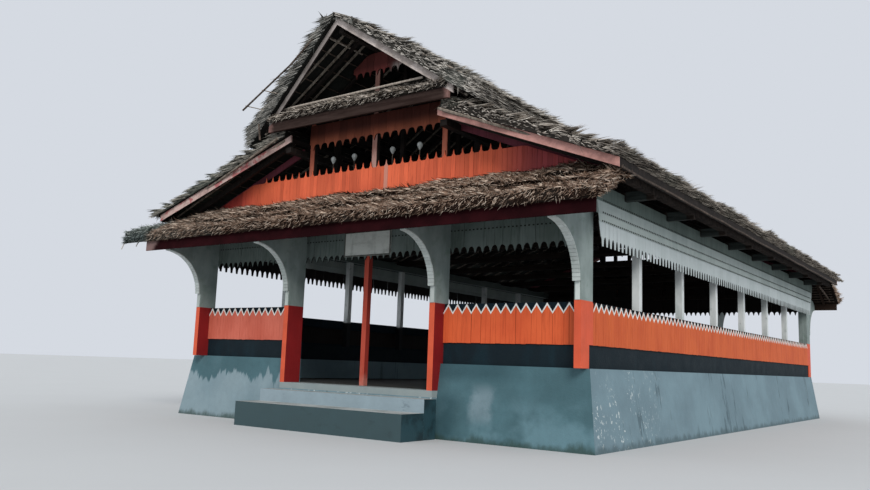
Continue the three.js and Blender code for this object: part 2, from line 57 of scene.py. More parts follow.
def tint(code):
    # An sRGB colour code as the linear colour that a socket takes.
    parts = [int(code[k:k + 2], 16) / 255 for k in (0, 2, 4)]
    return tuple(c / 12.92 if c <= 0.04045 else ((c + 0.055) / 1.055) ** 2.4 for c in parts) + (1.0,)


class Wiring:
    def feed(self, socket, value):
        if isinstance(value, bpy.types.NodeSocket):
            self.tree.links.new(value, socket)
        else:
            socket.default_value = value

    def add(self, kind, settings=None, **inputs):
        node = self.tree.nodes.new(kind)
        for name, value in (settings or {}).items():
            setattr(node, name, value)
        for name, value in inputs.items():
            self.feed(node.inputs[name.replace("_", " ")], value)
        return node

    def calc(self, operation, first, second=0.0, third=0.0):
        node = self.add("ShaderNodeMath", {"operation": operation})
        for socket, value in zip(node.inputs, (first, second, third)):
            self.feed(socket, value)
        return node.outputs[0]

    def times(self, first, second):
        return self.calc("MULTIPLY", first, second)

    def plus(self, first, second):
        return self.calc("ADD", first, second)


class Finish(Wiring):
    def __init__(self, name, roughness=0.85, specular=0.25):
        self.material = bpy.data.materials.new(name)
        self.material.use_nodes = True
        self.tree = self.material.node_tree
        self.shader = self.tree.nodes["Principled BSDF"]
        self.shader.inputs["Roughness"].default_value = roughness
        self.shader.inputs["Specular IOR Level"].default_value = specular
        self.place = self.add("ShaderNodeTexCoord").outputs["Object"]
        self.x, self.y, self.z = self.add("ShaderNodeSeparateXYZ", Vector=self.place).outputs
        facing = self.add("ShaderNodeNewGeometry").outputs["True Normal"]
        self.faceX, self.faceY, self.faceZ = self.add("ShaderNodeSeparateXYZ", Vector=facing).outputs

    def noise(self, scale, stretch=(1, 1, 1), detail=3.0, roughness=0.55, shift=0.0):
        # A stretch below 1 draws the pattern out along that axis.
        spread = self.add("ShaderNodeVectorMath", {"operation": "MULTIPLY_ADD"})
        for socket, value in zip(spread.inputs, (self.place, stretch, (shift, shift * 0.7, shift * 1.3))):
            self.feed(socket, value)
        node = self.add("ShaderNodeTexNoise", Vector=spread.outputs[0])
        for name, value in (("Scale", scale), ("Detail", detail), ("Roughness", roughness)):
            node.inputs[name].default_value = value
        return node.outputs[0]

    def span(self, value, low, high):
        # 0 at low and 1 at high, smooth between them.
        node = self.add("ShaderNodeMapRange", {"interpolation_type": "SMOOTHSTEP"})
        for name, number in (("Value", value), ("From Min", low), ("From Max", high)):
            self.feed(node.inputs[name], number)
        return node.outputs[0]

    def within(self, value, low, high, soft=0.02):
        # 1 between low and high, 0 outside.
        rise = self.span(value, low - soft, low + soft)
        fall = self.span(value, high + soft, high - soft)
        return self.times(rise, fall)

    def blend(self, factor, first, second, mode="MIX"):
        node = self.add("ShaderNodeMix", {"data_type": "RGBA", "blend_type": mode})
        for k, value in ((0, factor), (6, first), (7, second)):
            self.feed(node.inputs[k], tint(value) if isinstance(value, str) else value)
        return node.outputs[2]

    def shade(self, color, amount):
        # Multiplies a colour by a grey, so 1 leaves it as it is.
        grey = self.add("ShaderNodeCombineColor", Red=amount, Green=amount, Blue=amount).outputs[0]
        return self.blend(1.0, color, grey, "MULTIPLY")

    def fade(self, value, low, high, first, second, most=1.0):
        # The first colour where the value is low, turning to the second where it is high.
        amount = self.span(value, low, high)
        return self.blend(amount if most == 1.0 else self.times(amount, most), first, second)

    def vary(self, color, value, spread, least):
        # Darkens or lightens a colour with a value: by least where it is 0, and spread more where it is 1.
        return self.shade(color, self.calc("MULTIPLY_ADD", value, spread, least))

    def away(self, distance):
        # How far a place is from the middle, or how much a face looks along an axis either way.
        return self.calc("ABSOLUTE", distance)

    def bareInside(self, color, distance, face, dark, soft=0.004):
        # Painted shade: the bare wood further in than a face at this distance from the middle of the hall is
        # painted dark, as the shade inside the hall.
        return self.fade(self.away(distance), face, face - soft, color, dark)

    def tone(self, name="tone"):
        return self.add("ShaderNodeAttribute", {"attribute_name": name}).outputs["Fac"]

    def bump(self, height, depth):
        node = self.add("ShaderNodeBump", Height=height)
        node.inputs["Distance"].default_value = depth
        self.tree.links.new(node.outputs["Normal"], self.shader.inputs["Normal"])

    def done(self, color, roughness=None):
        self.feed(self.shader.inputs["Base Color"], color)
        if roughness is not None:
            self.feed(self.shader.inputs["Roughness"], roughness)
        return self.material

    def doneRough(self, color, value, spread, least):
        # Finishes with a roughness that follows a value.
        return self.done(color, self.calc("MULTIPLY_ADD", value, spread, least))


class Growth(Wiring):
    def __init__(self, name, inputs):
        self.tree = bpy.data.node_groups.new(name, "GeometryNodeTree")
        face = self.tree.interface
        face.new_socket("Geometry", in_out="INPUT", socket_type="NodeSocketGeometry")
        for label, kind in inputs.items():
            face.new_socket(label, in_out="INPUT", socket_type="NodeSocket" + kind)
        face.new_socket("Geometry", in_out="OUTPUT", socket_type="NodeSocketGeometry")
        self.source = self.tree.nodes.new("NodeGroupInput").outputs

    def chance(self, kind, low, high, offset):
        # A random value for each element; the offset keeps the draws of one tree apart.
        node = self.add("FunctionNodeRandomValue", {"data_type": kind})
        first = {"FLOAT_VECTOR": 0, "FLOAT": 2}[kind]
        self.feed(node.inputs[first], low)
        self.feed(node.inputs[first + 1], high)
        self.feed(node.inputs["Seed"], self.plus(self.source["Seed"], float(offset)))
        return node.outputs[first // 2]

    def both(self, operation, first, second):
        node = self.add("ShaderNodeVectorMath", {"operation": operation})
        self.feed(node.inputs[0], first)
        self.feed(node.inputs[1], second)
        return node.outputs[0]

    def scatter(self, points, turn, size, unit=None, base=None):
        # Puts the unit piece on each point, with a shade of its own, as real mesh in one finish.
        spread = self.add("GeometryNodeInstanceOnPoints", Points=points, Rotation=turn, Scale=size,
                          Instance=unit or self.source["Geometry"]).outputs[0]
        shaded = self.add("GeometryNodeStoreNamedAttribute", {"data_type": "FLOAT", "domain": "INSTANCE"},
                          Geometry=spread, Name="tone", Value=self.chance("FLOAT", 0.0, 1.0, 9)).outputs[0]
        solid = self.add("GeometryNodeRealizeInstances", Geometry=shaded).outputs[0]
        finished = self.add("GeometryNodeSetMaterial", Geometry=solid,
                            Material=self.source["Finish"]).outputs[0]
        if base is not None:
            whole = self.tree.nodes.new("GeometryNodeJoinGeometry")
            self.tree.links.new(finished, whole.inputs[0])
            self.tree.links.new(base, whole.inputs[0])
            finished = whole.outputs[0]
        self.add("NodeGroupOutput", Geometry=finished)


def rowGrowth():
    # One board repeated along a line, each moved and tipped a little.
    g = Growth("rowOfBoards", {
        "Count": "Int", "Start": "Vector", "Step": "Vector", "Turn": "Float", "Jitter": "Vector",
        "Sway": "Float", "Seed": "Int", "Finish": "Material"})
    s = g.source
    line = g.add("GeometryNodeMeshLine", {"mode": "OFFSET"}, Count=s["Count"], Start_Location=s["Start"],
                 Offset=s["Step"]).outputs[0]
    back = g.both("MULTIPLY", s["Jitter"], (-1.0, -1.0, -1.0))
    moved = g.add("GeometryNodeSetPosition", Geometry=line,
                  Offset=g.chance("FLOAT_VECTOR", back, s["Jitter"], 1)).outputs[0]
    sway = g.chance("FLOAT", g.times(s["Sway"], -1.0), s["Sway"], 2)
    turn = g.add("ShaderNodeCombineXYZ", X=0.0, Y=sway, Z=s["Turn"]).outputs[0]
    g.scatter(moved, turn, (1.0, 1.0, 1.0))
    return g.tree


def coverGrowth():
    # Leaves scattered over a thatch core. Each lies along the flow on its face and is lifted at its tip,
    # more where the face is upright, so the ends of the courses bristle.
    g = Growth("leafCover", {
        "Leaf": "Object", "Density": "Float", "Flow": "Vector", "Lift": "Float", "Bristle": "Vector",
        "Ruffle": "Float", "Spread": "Vector", "Small": "Float", "Large": "Float", "Seed": "Int",
        "Finish": "Material"})
    s = g.source
    cover = g.add("GeometryNodeInputNamedAttribute", {"data_type": "FLOAT"}, Name="cover").outputs[0]
    spots = g.add("GeometryNodeDistributePointsOnFaces", Mesh=s["Geometry"], Seed=s["Seed"],
                  Density=g.times(s["Density"], cover)).outputs
    out = spots["Normal"]
    down = g.both("CROSS_PRODUCT", out, g.both("CROSS_PRODUCT", s["Flow"], out))
    flat = g.add("FunctionNodeAxesToRotation", {"primary_axis": "X", "secondary_axis": "Z"},
                 Primary_Axis=down, Secondary_Axis=out).outputs[0]
    upright = g.calc("SUBTRACT", 1.0, g.add("ShaderNodeSeparateXYZ", Vector=out).outputs[2])
    sideways = g.add("ShaderNodeVectorMath", {"operation": "ABSOLUTE"})
    g.feed(sideways.inputs[0], out)
    bristle = g.add("ShaderNodeVectorMath", {"operation": "DOT_PRODUCT"})
    g.feed(bristle.inputs[0], sideways.outputs[0])
    g.feed(bristle.inputs[1], s["Bristle"])
    # Patches where the leaves stand up.
    patches = g.add("ShaderNodeTexNoise", Scale=2.6, Detail=2.0).outputs[0]
    ruffle = g.times(g.calc("MAXIMUM", g.calc("SUBTRACT", patches, 0.52), 0.0), s["Ruffle"])
    lift = g.plus(g.times(upright, bristle.outputs["Value"]), g.plus(s["Lift"], ruffle))
    lift = g.times(lift, -1.0)
    back = g.both("MULTIPLY", s["Spread"], (-1.0, -1.0, -1.0))
    turn = g.both("ADD", g.add("ShaderNodeCombineXYZ", X=0.0, Y=lift, Z=0.0).outputs[0],
                  g.chance("FLOAT_VECTOR", back, s["Spread"], 2))
    turned = g.add("FunctionNodeRotateRotation", {"rotation_space": "LOCAL"}, Rotation=flat,
                   Rotate_By=turn).outputs[0]
    shorter = g.calc("MULTIPLY_ADD", g.calc("MINIMUM", upright, 1.0), -0.45, 1.0)
    size = g.times(g.chance("FLOAT", s["Small"], s["Large"], 3), shorter)
    leaf = g.add("GeometryNodeObjectInfo", Object=s["Leaf"]).outputs["Geometry"]
    g.scatter(spots["Points"], turned, g.add("ShaderNodeCombineXYZ", X=size, Y=size, Z=size).outputs[0],
              leaf, s["Geometry"])
    return g.tree


def pathGrowth():
    # Short boards laid side by side across a path, square to it.
    g = Growth("boardsAlongPath", {
        "Pitch": "Float", "Seed": "Int", "Width": "Float", "Length": "Float", "Thickness": "Float",
        "Finish": "Material"})
    s = g.source
    curve = g.add("GeometryNodeMeshToCurve", Mesh=s["Geometry"]).outputs[0]
    points = g.add("GeometryNodeResampleCurve", {"mode": "LENGTH"}, Curve=curve, Length=s["Pitch"]).outputs[0]
    along = g.add("GeometryNodeInputTangent").outputs[0]
    turn = g.add("FunctionNodeAxesToRotation", {"primary_axis": "Z", "secondary_axis": "X"},
                 Primary_Axis=along, Secondary_Axis=(1.0, 0.0, 0.0)).outputs[0]
    size = g.add("ShaderNodeCombineXYZ", X=s["Width"], Y=s["Thickness"], Z=s["Length"]).outputs[0]
    board = g.add("GeometryNodeMeshCube", Size=size).outputs[0]
    g.scatter(points, turn, (1.0, 1.0, 1.0), board)
    return g.tree


rowTree, coverTree, pathTree = rowGrowth(), coverGrowth(), pathGrowth()


def putIn(name, data):
    made = bpy.data.objects.new(name, data)
    scene.collection.objects.link(made)
    return made


def named(piece, name):
    piece.name = name
    piece.data.name = name
    return piece


def faceOut(mesh):
    # Turns the faces of closed shapes outwards.
    work = bmesh.new()
    work.from_mesh(mesh)
    bmesh.ops.recalc_face_normals(work, faces=work.faces)
    work.to_mesh(mesh)
    work.free()


def grow(mesh, tree, values):
    # Runs a tree on a unit piece and returns the result as a plain object.
    made = putIn("grown", mesh)
    modifier = made.modifiers.new("grow", "NODES")
    modifier.node_group = tree
    for item in tree.interface.items_tree:
        if item.item_type == "SOCKET" and item.in_out == "INPUT" and item.name in values:
            modifier[item.identifier] = values[item.name]
    graph = bpy.context.evaluated_depsgraph_get()
    plain = bpy.data.meshes.new_from_object(made.evaluated_get(graph), preserve_all_data_layers=True,
                                            depsgraph=graph)
    made.modifiers.clear()
    made.data = plain
    return made


def circle(sides):
    turns = [2 * math.pi * k / sides for k in range(sides)]
    return [(math.cos(turn), math.sin(turn)) for turn in turns]


class Joinery:
    # Gathers closed solids, each with a shade and a finish, and makes one mesh of them.
    def __init__(self, seed=1):
        self.points, self.faces, self.tones, self.kinds = [], [], [], []
        self.covers, self.depths = [], []
        self.dice = random.Random(seed)

    def about(self, spread):
        # A random amount either way.
        return self.dice.uniform(-spread, spread)

    def prism(self, loop, offset, kind=0, tone=None, taper=1.0):
        # A loop of points carried over by the offset, with both ends closed.
        base, count = len(self.points), len(loop)
        tone = self.dice.random() if tone is None else tone
        middle = sum((Vector(p) for p in loop), Vector()) / count
        self.points += [Vector(p) for p in loop]
        self.points += [middle + (Vector(p) - middle) * taper + Vector(offset) for p in loop]
        self.tones += [tone] * (2 * count)
        rings = [[base + k for k in range(count)], [base + count + k for k in reversed(range(count))]]
        sides = [[base + k, base + count + k, base + count + (k + 1) % count, base + (k + 1) % count]
                 for k in range(count)]
        self.faces += rings + sides
        self.kinds += [kind] * (count + 2)
        self.covers += [0.0] * (2 * count)
        self.depths += [1.0] * (2 * count)

    def loft(self, rings, kind=0, tone=0.5, cover=None, depth=None):
        # A closed skin through rings of points, with a cap at each end.
        base, count = len(self.points), len(rings[0])
        for k, ring in enumerate(rings):
            self.points += [Vector(p) for p in ring]
            self.covers += cover[k] if cover else [1.0] * count
            self.depths += depth[k] if depth else [1.0] * count
            self.tones += [tone] * count
        for k in range(len(rings) - 1):
            at = base + k * count
            self.faces += [[at + j, at + (j + 1) % count, at + count + (j + 1) % count, at + count + j]
                           for j in range(count)]
        last = base + (len(rings) - 1) * count
        self.faces += [[base + j for j in reversed(range(count))], [last + j for j in range(count)]]
        self.kinds += [kind] * ((len(rings) - 1) * count + 2)

    def beam(self, start, end, width, depth, up=(0, 0, 1), kind=0, tone=None, chamfer=0.004):
        # A squared timber from start to end, with its long edges eased.
        start, end = Vector(start), Vector(end)
        along = (end - start).normalized()
        side = along.cross(Vector(up)).normalized()
        top = side.cross(along)
        w, d, c = width / 2, depth / 2, min(chamfer, width / 4, depth / 4)
        ring = [(-w + c, -d), (w - c, -d), (w, -d + c), (w, d - c),
                (w - c, d), (-w + c, d), (-w, d - c), (-w, -d + c)]
        self.prism([start + side * a + top * b for a, b in ring], end - start, kind, tone)

    def pole(self, start, end, radius, kind=0, tone=None, sides=8, taper=0.85):
        # A round stick, thinner or thicker at its end by the taper.
        start, end = Vector(start), Vector(end)
        along = (end - start).normalized()
        side = along.orthogonal().normalized()
        top = side.cross(along)
        ring = [start + (side * a + top * b) * radius for a, b in circle(sides)]
        self.prism(ring, end - start, kind, tone, taper)

    def mesh(self, name, finishes):
        made = bpy.data.meshes.new(name)
        made.from_pydata([tuple(p) for p in self.points], [], self.faces)
        for finish in finishes:
            made.materials.append(finish)
        made.polygons.foreach_set("material_index", self.kinds)
        for label, values in (("tone", self.tones), ("cover", self.covers), ("depth", self.depths)):
            made.attributes.new(label, "FLOAT", "POINT").data.foreach_set("value", values)
        faceOut(made)
        return made

    def thing(self, name, finishes):
        return putIn(name, self.mesh(name, finishes))


def unitBoard(outline, thickness, front=0.0):
    # One board facing -Y, from an outline across and up, for a tree to repeat.
    wood = Joinery()
    wood.prism([(a, front, b) for a, b in outline], (0, thickness, 0))
    return wood.mesh("unitBoard", [])


def gather(name, parts):
    # Joins the parts of one piece.
    with bpy.context.temp_override(active_object=parts[0], object=parts[0], selected_objects=parts,
                                   selected_editable_objects=parts):
        bpy.ops.object.join()
    return named(parts[0], name)


def deliver(piece, slot, *replaced):
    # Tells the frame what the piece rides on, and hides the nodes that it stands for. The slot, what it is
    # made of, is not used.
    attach(piece, "root")
    if replaced:
        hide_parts(*replaced)
    piece.data.calc_loop_triangles()
    print("made", piece.name, len(piece.data.loop_triangles), "triangles")


def dress(names, finish):
    # Gives a finish to nodes that stay as they are.
    for name in names:
        nodes[name].data.materials.clear()
        nodes[name].data.materials.append(finish)


# Camera at the photograph's angle.

cameraValues = {"azimuth": 35.9237, "elevation": -8.4432, "roll": 2.0373, "focalPixels": 804.71,
                "imageWidth": 870, "place": (8.9070, -17.3992, 1.1018), "sensor": 36, "clipEnd": 600}


def placeCamera(v):
    azimuth, elevation, roll = (math.radians(v[k]) for k in ("azimuth", "elevation", "roll"))
    level = math.cos(elevation)
    forward = Vector((-math.sin(azimuth) * level, math.cos(azimuth) * level, -math.sin(elevation)))
    right = forward.cross(Vector((0, 0, 1))).normalized()
    up = right.cross(forward)
    rolledRight = math.cos(roll) * right + math.sin(roll) * up
    rolledUp = math.cos(roll) * up - math.sin(roll) * right
    data = bpy.data.cameras.new("photoCamera")
    data.sensor_width = v["sensor"]
    data.lens = data.sensor_width * v["focalPixels"] / v["imageWidth"]
    data.clip_end = v["clipEnd"]
    camera = putIn("photoCamera", data)
    turn = Matrix((rolledRight, rolledUp, -forward)).transposed().to_4x4()
    turn.translation = Vector(v["place"])
    camera.matrix_world = turn
    scene.camera = camera


placeCamera(cameraValues)

# Studio: pale floor, pale even sky and one broad soft key from the right.

studioValues = {"sky": "d5dae2", "skyStrength": 1.0, "keyStrength": 2.1, "keyAngle": 24.0,
                "keyColor": (1.0, 0.97, 0.93), "keyTravel": (-0.62, 0.66, -0.56), "floorSize": 400.0,
                "floor": "c9cbcb", "floorPatch": "c4c6c6"}


def buildStudio(v):
    world = bpy.data.worlds.new("paleSky")
    world.use_nodes = True
    background = world.node_tree.nodes["Background"]
    background.inputs["Color"].default_value = tint(v["sky"])
    background.inputs["Strength"].default_value = v["skyStrength"]
    scene.world = world
    data = bpy.data.lights.new("softKey", "SUN")
    data.energy = v["keyStrength"]
    data.angle = math.radians(v["keyAngle"])
    data.color = v["keyColor"]
    key = putIn("softKey", data)
    key.rotation_mode = "QUATERNION"
    key.rotation_quaternion = Vector(v["keyTravel"]).to_track_quat("-Z", "Y")
    half = v["floorSize"] / 2
    corners = [(-half, -half, 0), (half, -half, 0), (half, half, 0), (-half, half, 0)]
    sheet = bpy.data.meshes.new("studioFloor")
    sheet.from_pydata(corners, [], [(0, 1, 2, 3)])
    look = Finish("studioFloor", roughness=0.95, specular=0.1)
    sheet.materials.append(look.done(look.blend(look.noise(0.4), v["floor"], v["floorPatch"])))
    floor = putIn("studioFloor", sheet)
    scene.view_settings.view_transform = "Standard"


buildStudio(studioValues)
print("camera and studio ready")

# Masonry finishes. A pair of places says where a patch starts to show and where it shows in full. The two
# pairs of the cloud are its ends.

masonryValues = {"ledge": 1.12, "edge": 0.004, "bandPaint": "03161e", "bandWorn": "09252e",
                 "sidePaint": "697f88", "sideWorn": "748c95", "run": "34464d", "flake": "c3cccc",
                 "flakesAlong": (-4.2, -6.4), "sideFoot": "45565a", "sideFootUp": (-0.04, -0.15),
                 "frontPale": "82959c", "frontPaint": "768b93", "frontTeal": "426067", "frontWorn": "4d6e76",
                 "frontLow": "5f7f88", "entry": (0.2, 0.4), "drips": (1.18, 1.26), "lowUp": (0.8, 0.3),
                 "cloudAcross": (2.15, 2.85), "cloudUp": (0.32, 0.78), "corner": "29464e",
                 "cornerAcross": (2.2, 1.95), "cornerUp": (0.8, 0.55), "upperAcross": (3.4, 2.6),
                 "upperUp": (0.8, 1.0), "moss": "2b3d34", "mossUp": (-0.04, -0.16)}


def masonryFoot(f, scale):
    # The height with a ragged drop of up to 0.32 m, so that what follows it has a ragged edge.
    return f.plus(f.z, f.times(f.noise(scale, (1, 1, 0.5), 5, 0.7), -0.32))


def withBand(f, v, paint, band):
    return f.fade(f.z, v["ledge"] - v["edge"], v["ledge"] + v["edge"], paint, band)


def sideMasonry(v):
    # Pale grey-blue with a few thin dark runs, and flaked white near the front corner.
    f = Finish("sideMasonry", 0.8)
    paint = f.fade(f.noise(0.8, (1, 1, 1.4), 4, shift=3), 0.35, 0.7, v["sidePaint"], v["sideWorn"])
    paint = f.vary(paint, f.noise(9, (1, 1, 0.6), 5, 0.7, 4), 0.24, 0.88)
    runs = f.span(f.noise(1.6, (1.4, 1.4, 0.16), 3, 0.5, 11), 0.57, 0.63)
    fine = f.span(f.noise(11, (1.6, 1.6, 0.08), 2, 0.5, 5), 0.5, 0.6)
    paint = f.blend(f.times(f.times(runs, fine), 0.55), paint, v["run"])
    nearCorner = f.span(f.y, *v["flakesAlong"])
    peel = f.times(f.span(f.noise(17, (1, 1, 0.8), 4, 0.65, 21), 0.585, 0.62), nearCorner)
    peel = f.times(peel, f.span(f.noise(1.9, (1, 1, 0.6), shift=2), 0.44, 0.56))
    paint = f.blend(f.times(peel, 0.9), paint, v["flake"])
    paint = f.fade(masonryFoot(f, 5), *v["sideFootUp"], paint, v["sideFoot"], 0.7)
    band = f.fade(f.noise(7, (1.5, 1.5, 0.1), 4, 0.6, 9), 0.52, 0.75, v["bandPaint"], v["bandWorn"], 0.3)
    f.bump(f.noise(30, detail=5), 0.004)
    return f.doneRough(withBand(f, v, paint, band), f.noise(4), 0.3, 0.6)


def frontMasonry(v):
    # To the left a pale coat under a darker one that ends in drips, to the right dark teal with a pale cloud.
    f = Finish("frontMasonry", 0.8)
    mottle = f.calc("MULTIPLY_ADD", f.noise(7, (1, 1, 0.7), 5, 0.7, 4), 0.3, 0.85)
    pale = f.fade(f.noise(1.1, detail=4, shift=31), 0.35, 0.7, v["frontPale"], v["frontPaint"])
    teal = f.fade(f.noise(1.6, detail=4, shift=7), 0.35, 0.75, v["frontTeal"], v["frontWorn"])
    drips = f.times(f.noise(4.5, (1, 1, 0.1), 4, 0.6, 14), 0.9)
    overcoat = f.span(f.plus(f.z, drips), *v["drips"])
    overcoat = f.times(overcoat, f.calc("MULTIPLY_ADD", f.noise(2, shift=5), 0.8, 0.65))
    leftWall = f.blend(overcoat, pale, teal)
    cloud = f.plus(f.noise(2.1, (1, 1, 1), 5, 0.62, 40), f.within(f.x, *v["cloudAcross"], 0.3))
    cloud = f.times(f.span(cloud, 1.2, 1.52), f.within(f.z, *v["cloudUp"], 0.12))
    low = f.times(f.span(f.noise(1.3, detail=4, shift=51), 0.44, 0.6), f.span(f.z, *v["lowUp"]))
    rightWall = f.blend(f.times(cloud, 0.85), f.blend(low, teal, v["frontLow"]), v["frontPaint"])
    corner = f.times(f.span(f.x, *v["cornerAcross"]), f.span(f.z, *v["cornerUp"]))
    upper = f.times(f.span(f.x, *v["upperAcross"]), f.span(f.z, *v["upperUp"]))
    rightWall = f.blend(f.times(f.calc("MAXIMUM", corner, upper), 0.6), rightWall, v["corner"])
    paint = f.shade(f.fade(f.x, *v["entry"], leftWall, rightWall), mottle)
    paint = f.fade(masonryFoot(f, 4), *v["mossUp"], paint, v["moss"], 0.75)
    band = f.fade(f.noise(3, (1, 1, 0.3)), 0.45, 0.8, v["bandPaint"], v["bandWorn"])
    f.bump(f.noise(30, detail=5), 0.004)
    return f.doneRough(withBand(f, v, paint, band), f.noise(4), 0.3, 0.55)


stepValues = {"low": ("34494d", "b3b8b6", "2a3b3e", 3), "high": ("8b9ca4", "a9afad", "4f5f66", 7),
              "side": "213f47", "sideShadeDeep": "132a30", "treadWorn": "8a918e"}


def stepRender(name, riser, tread, stain, seed):
    # Stained risers, worn treads, and painted shade on the dark ends.
    v = stepValues
    f = Finish(name, 0.6, 0.4)
    wear = f.noise(5, detail=5, roughness=0.6, shift=seed)
    face = f.vary(riser, wear, 0.4, 0.8)
    spots = f.span(f.noise(2.6, (1, 1, 2), 5, 0.62, seed + 4), 0.6, 0.68)
    face = f.blend(f.times(spots, 0.45), face, stain)
    # Painted shade on the ends of the steps.
    side = f.fade(f.noise(3, detail=6, shift=seed), 0.45, 0.62, v["side"], v["sideShadeDeep"])
    face = f.fade(f.away(f.faceX), 0.6, 0.8, face, side)
    top = f.fade(f.noise(2.4, detail=5, shift=seed + 8), 0.4, 0.7, tread, v["treadWorn"])
    color = f.fade(f.faceZ, 0.5, 0.8, face, top)
    f.bump(f.noise(40, detail=4), 0.003)
    return f.doneRough(color, wear, 0.4, 0.4)


floorValues = {"shadedCement": ("353632", "262622"), "sill": ("7d8a8d", "98a19f"), "sillAt": (-6.9, -7.15)}


def floorRender(v):
    # Dark cement, made darker as painted shade inside the hall, and a painted pool of light where the light
    # falls on the sill at the entry.
    f = Finish("floorRender", 0.7)
    # Painted shade: the floor of the hall is kept dark.
    base = f.fade(f.noise(1.4, detail=5), 0.35, 0.7, *v["shadedCement"])
    color = f.fade(f.y, *v["sillAt"], base, f.blend(f.noise(4, detail=5), *v["sill"]))
    f.bump(f.noise(25, detail=4), 0.003)
    return f.done(color)


masonryNames = [n for n in nodes if n.startswith("plinth")]
dress([n for n in masonryNames if "front" not in n], sideMasonry(masonryValues))
dress([n for n in masonryNames if "front" in n], frontMasonry(masonryValues))
dress(["step_low"], stepRender("lowStepRender", *stepValues["low"]))
dress(["step_high"], stepRender("highStepRender", *stepValues["high"]))
dress(["floor_slab"], floorRender(floorValues))
print("masonry dressed")

# Timber finishes.


def boardPaint(name, main, worn, dark, inward=None, roughness=0.7, grain=0.55):
    # Painted upright boards: a tone for each board, and grain along it. inward is the axis and the distance
    # of the outer face, behind which the bare wood is painted dark as the shade inside the hall.
    f = Finish(name, roughness)
    tone = f.tone()
    color = f.fade(f.noise(2.2, (1, 1, 0.5), 4, 0.6), 0.35, 0.7, main, worn)
    color = f.vary(color, tone, 0.2, 0.88)
    lines = f.noise(26, (1, 1, 0.06), 4, 0.7, 2)
    color = f.blend(f.times(f.span(lines, 0.5, 0.72), grain), color, dark)
    if inward is not None:
        axis, distance = inward
        # Painted shade on the faces inside the hall.
        color = f.bareInside(color, {"x": f.x, "y": f.y}[axis], distance - 0.004, "17110f")
    f.bump(lines, 0.0025)
    return f.doneRough(color, lines, 0.3, roughness - 0.15)


def bareTimber(name, light, dark, scale=18.0):
    # Unpainted wood, each piece in its own shade.
    f = Finish(name, 0.85)
    lines = f.noise(scale, (1, 1, 0.35), 5, 0.65, 6)
    color = f.fade(lines, 0.35, 0.7, dark, light)
    color = f.vary(color, f.tone(), 0.35, 0.8)
    f.bump(lines, 0.003)
    return f.done(color)


paintLines = {"finRed": 2.04, "finOuter": (4.1, 4.14), "finShadeInside": (7.16, 7.12), "finShadeUp": (3.3, 3.4),
              "postPlate": (3.43, 3.46), "postFoot": (2.02, 1.99)}


def finPaint(v):
    # Red up to the rail's top, with painted light: brighter on the front and outer faces, darker red in
    # painted shade on the other sides. Weathered grey above, with painted shade inside the hall under the
    # roof.
    f = Finish("finPaint", 0.65)
    lines = f.noise(22, (1, 1, 0.07), 4, 0.65, 8)
    # Painted light and shade: the front and outer faces are lit, the other sides darker red.
    front = f.span(f.away(f.faceY), 0.5, 0.8)
    outer = f.times(f.span(f.away(f.x), *v["finOuter"]), f.span(f.away(f.faceX), 0.5, 0.8))
    red = f.blend(f.calc("MAXIMUM", front, outer), "7d1719", "d0583a")
    red = f.vary(red, f.noise(4, detail=5), 0.5, 0.72)
    grey = f.fade(f.noise(3, (1, 1, 0.5), 5, 0.6, 4), 0.35, 0.7, "76827f", "8b9794")
    grey = f.fade(f.noise(6, detail=5, shift=3), 0.52, 0.75, grey, "5a6f63", 0.5)
    color = f.fade(f.z, v["finRed"] - 0.004, v["finRed"] + 0.004, red, grey)
    # Painted shade on the part inside the hall, high under the roof.
    inside = f.span(f.away(f.y), *v["finShadeInside"])
    color = f.blend(f.times(inside, f.span(f.z, *v["finShadeUp"])), color, "2a2a28")
    f.bump(lines, 0.002)
    return f.doneRough(color, lines, 0.3, 0.5)


def postPaint(v):
    # Whitish, grey-green at the plate, and dark behind the rail.
    f = Finish("postPaint", 0.7)
    lines = f.noise(20, (1, 1, 0.08), 4, 0.65, 12)
    color = f.fade(f.noise(5, (1, 1, 0.4), 5, 0.6), 0.35, 0.7, "d6dad9", "bac1c0")
    color = f.fade(f.noise(9, detail=4, shift=5), 0.6, 0.72, color, "7d8784", 0.5)
    color = f.fade(f.z, *v["postPlate"], color, "55605c")
    color = f.fade(f.z, *v["postFoot"], color, "14181a")
    f.bump(lines, 0.002)
    return f.done(color, 0.65)


# Outer faces of the rails, how far the side rails reach, and each bay's ends as seen from outside.
railPlaces = {"side": 4.15, "end": 7.175, "sideReach": 7.0296,
              "frontLeft": (-3.8782, -1.5578), "frontRight": (1.7138, 3.9397),
              "back": ((3.9397, 1.7138), (1.6102, -1.4542), (-1.5578, -3.8782))}
# onSide and onEnd say where the painted shade inside the hall begins on the rails.
onSide, onEnd = ("x", railPlaces["side"]), ("y", railPlaces["end"])
sideOrange = boardPaint("railOrangeRight", "d46433", "c8582d", "a0401f", inward=onSide)
leftOrange = boardPaint("railOrangeLeft", "c9623f", "b95438", "8d3b29", inward=onSide)
frontSalmon = boardPaint("railSalmonFront", "d4705c", "c55f4b", "a44a3a", inward=onEnd)
frontOrange = boardPaint("railOrangeFront", "e26538", "d3572f", "a44022", inward=onEnd)
backOrange = boardPaint("railOrangeBack", "c9603c", "b95135", "8d3b29", inward=onEnd)
zigzagWhite = boardPaint("zigzagWhite", "eeeeea", "dcdcd6", "a8a49c", grain=0.35)
railDark = bareTimber("railDark", "031c28", "02121a")
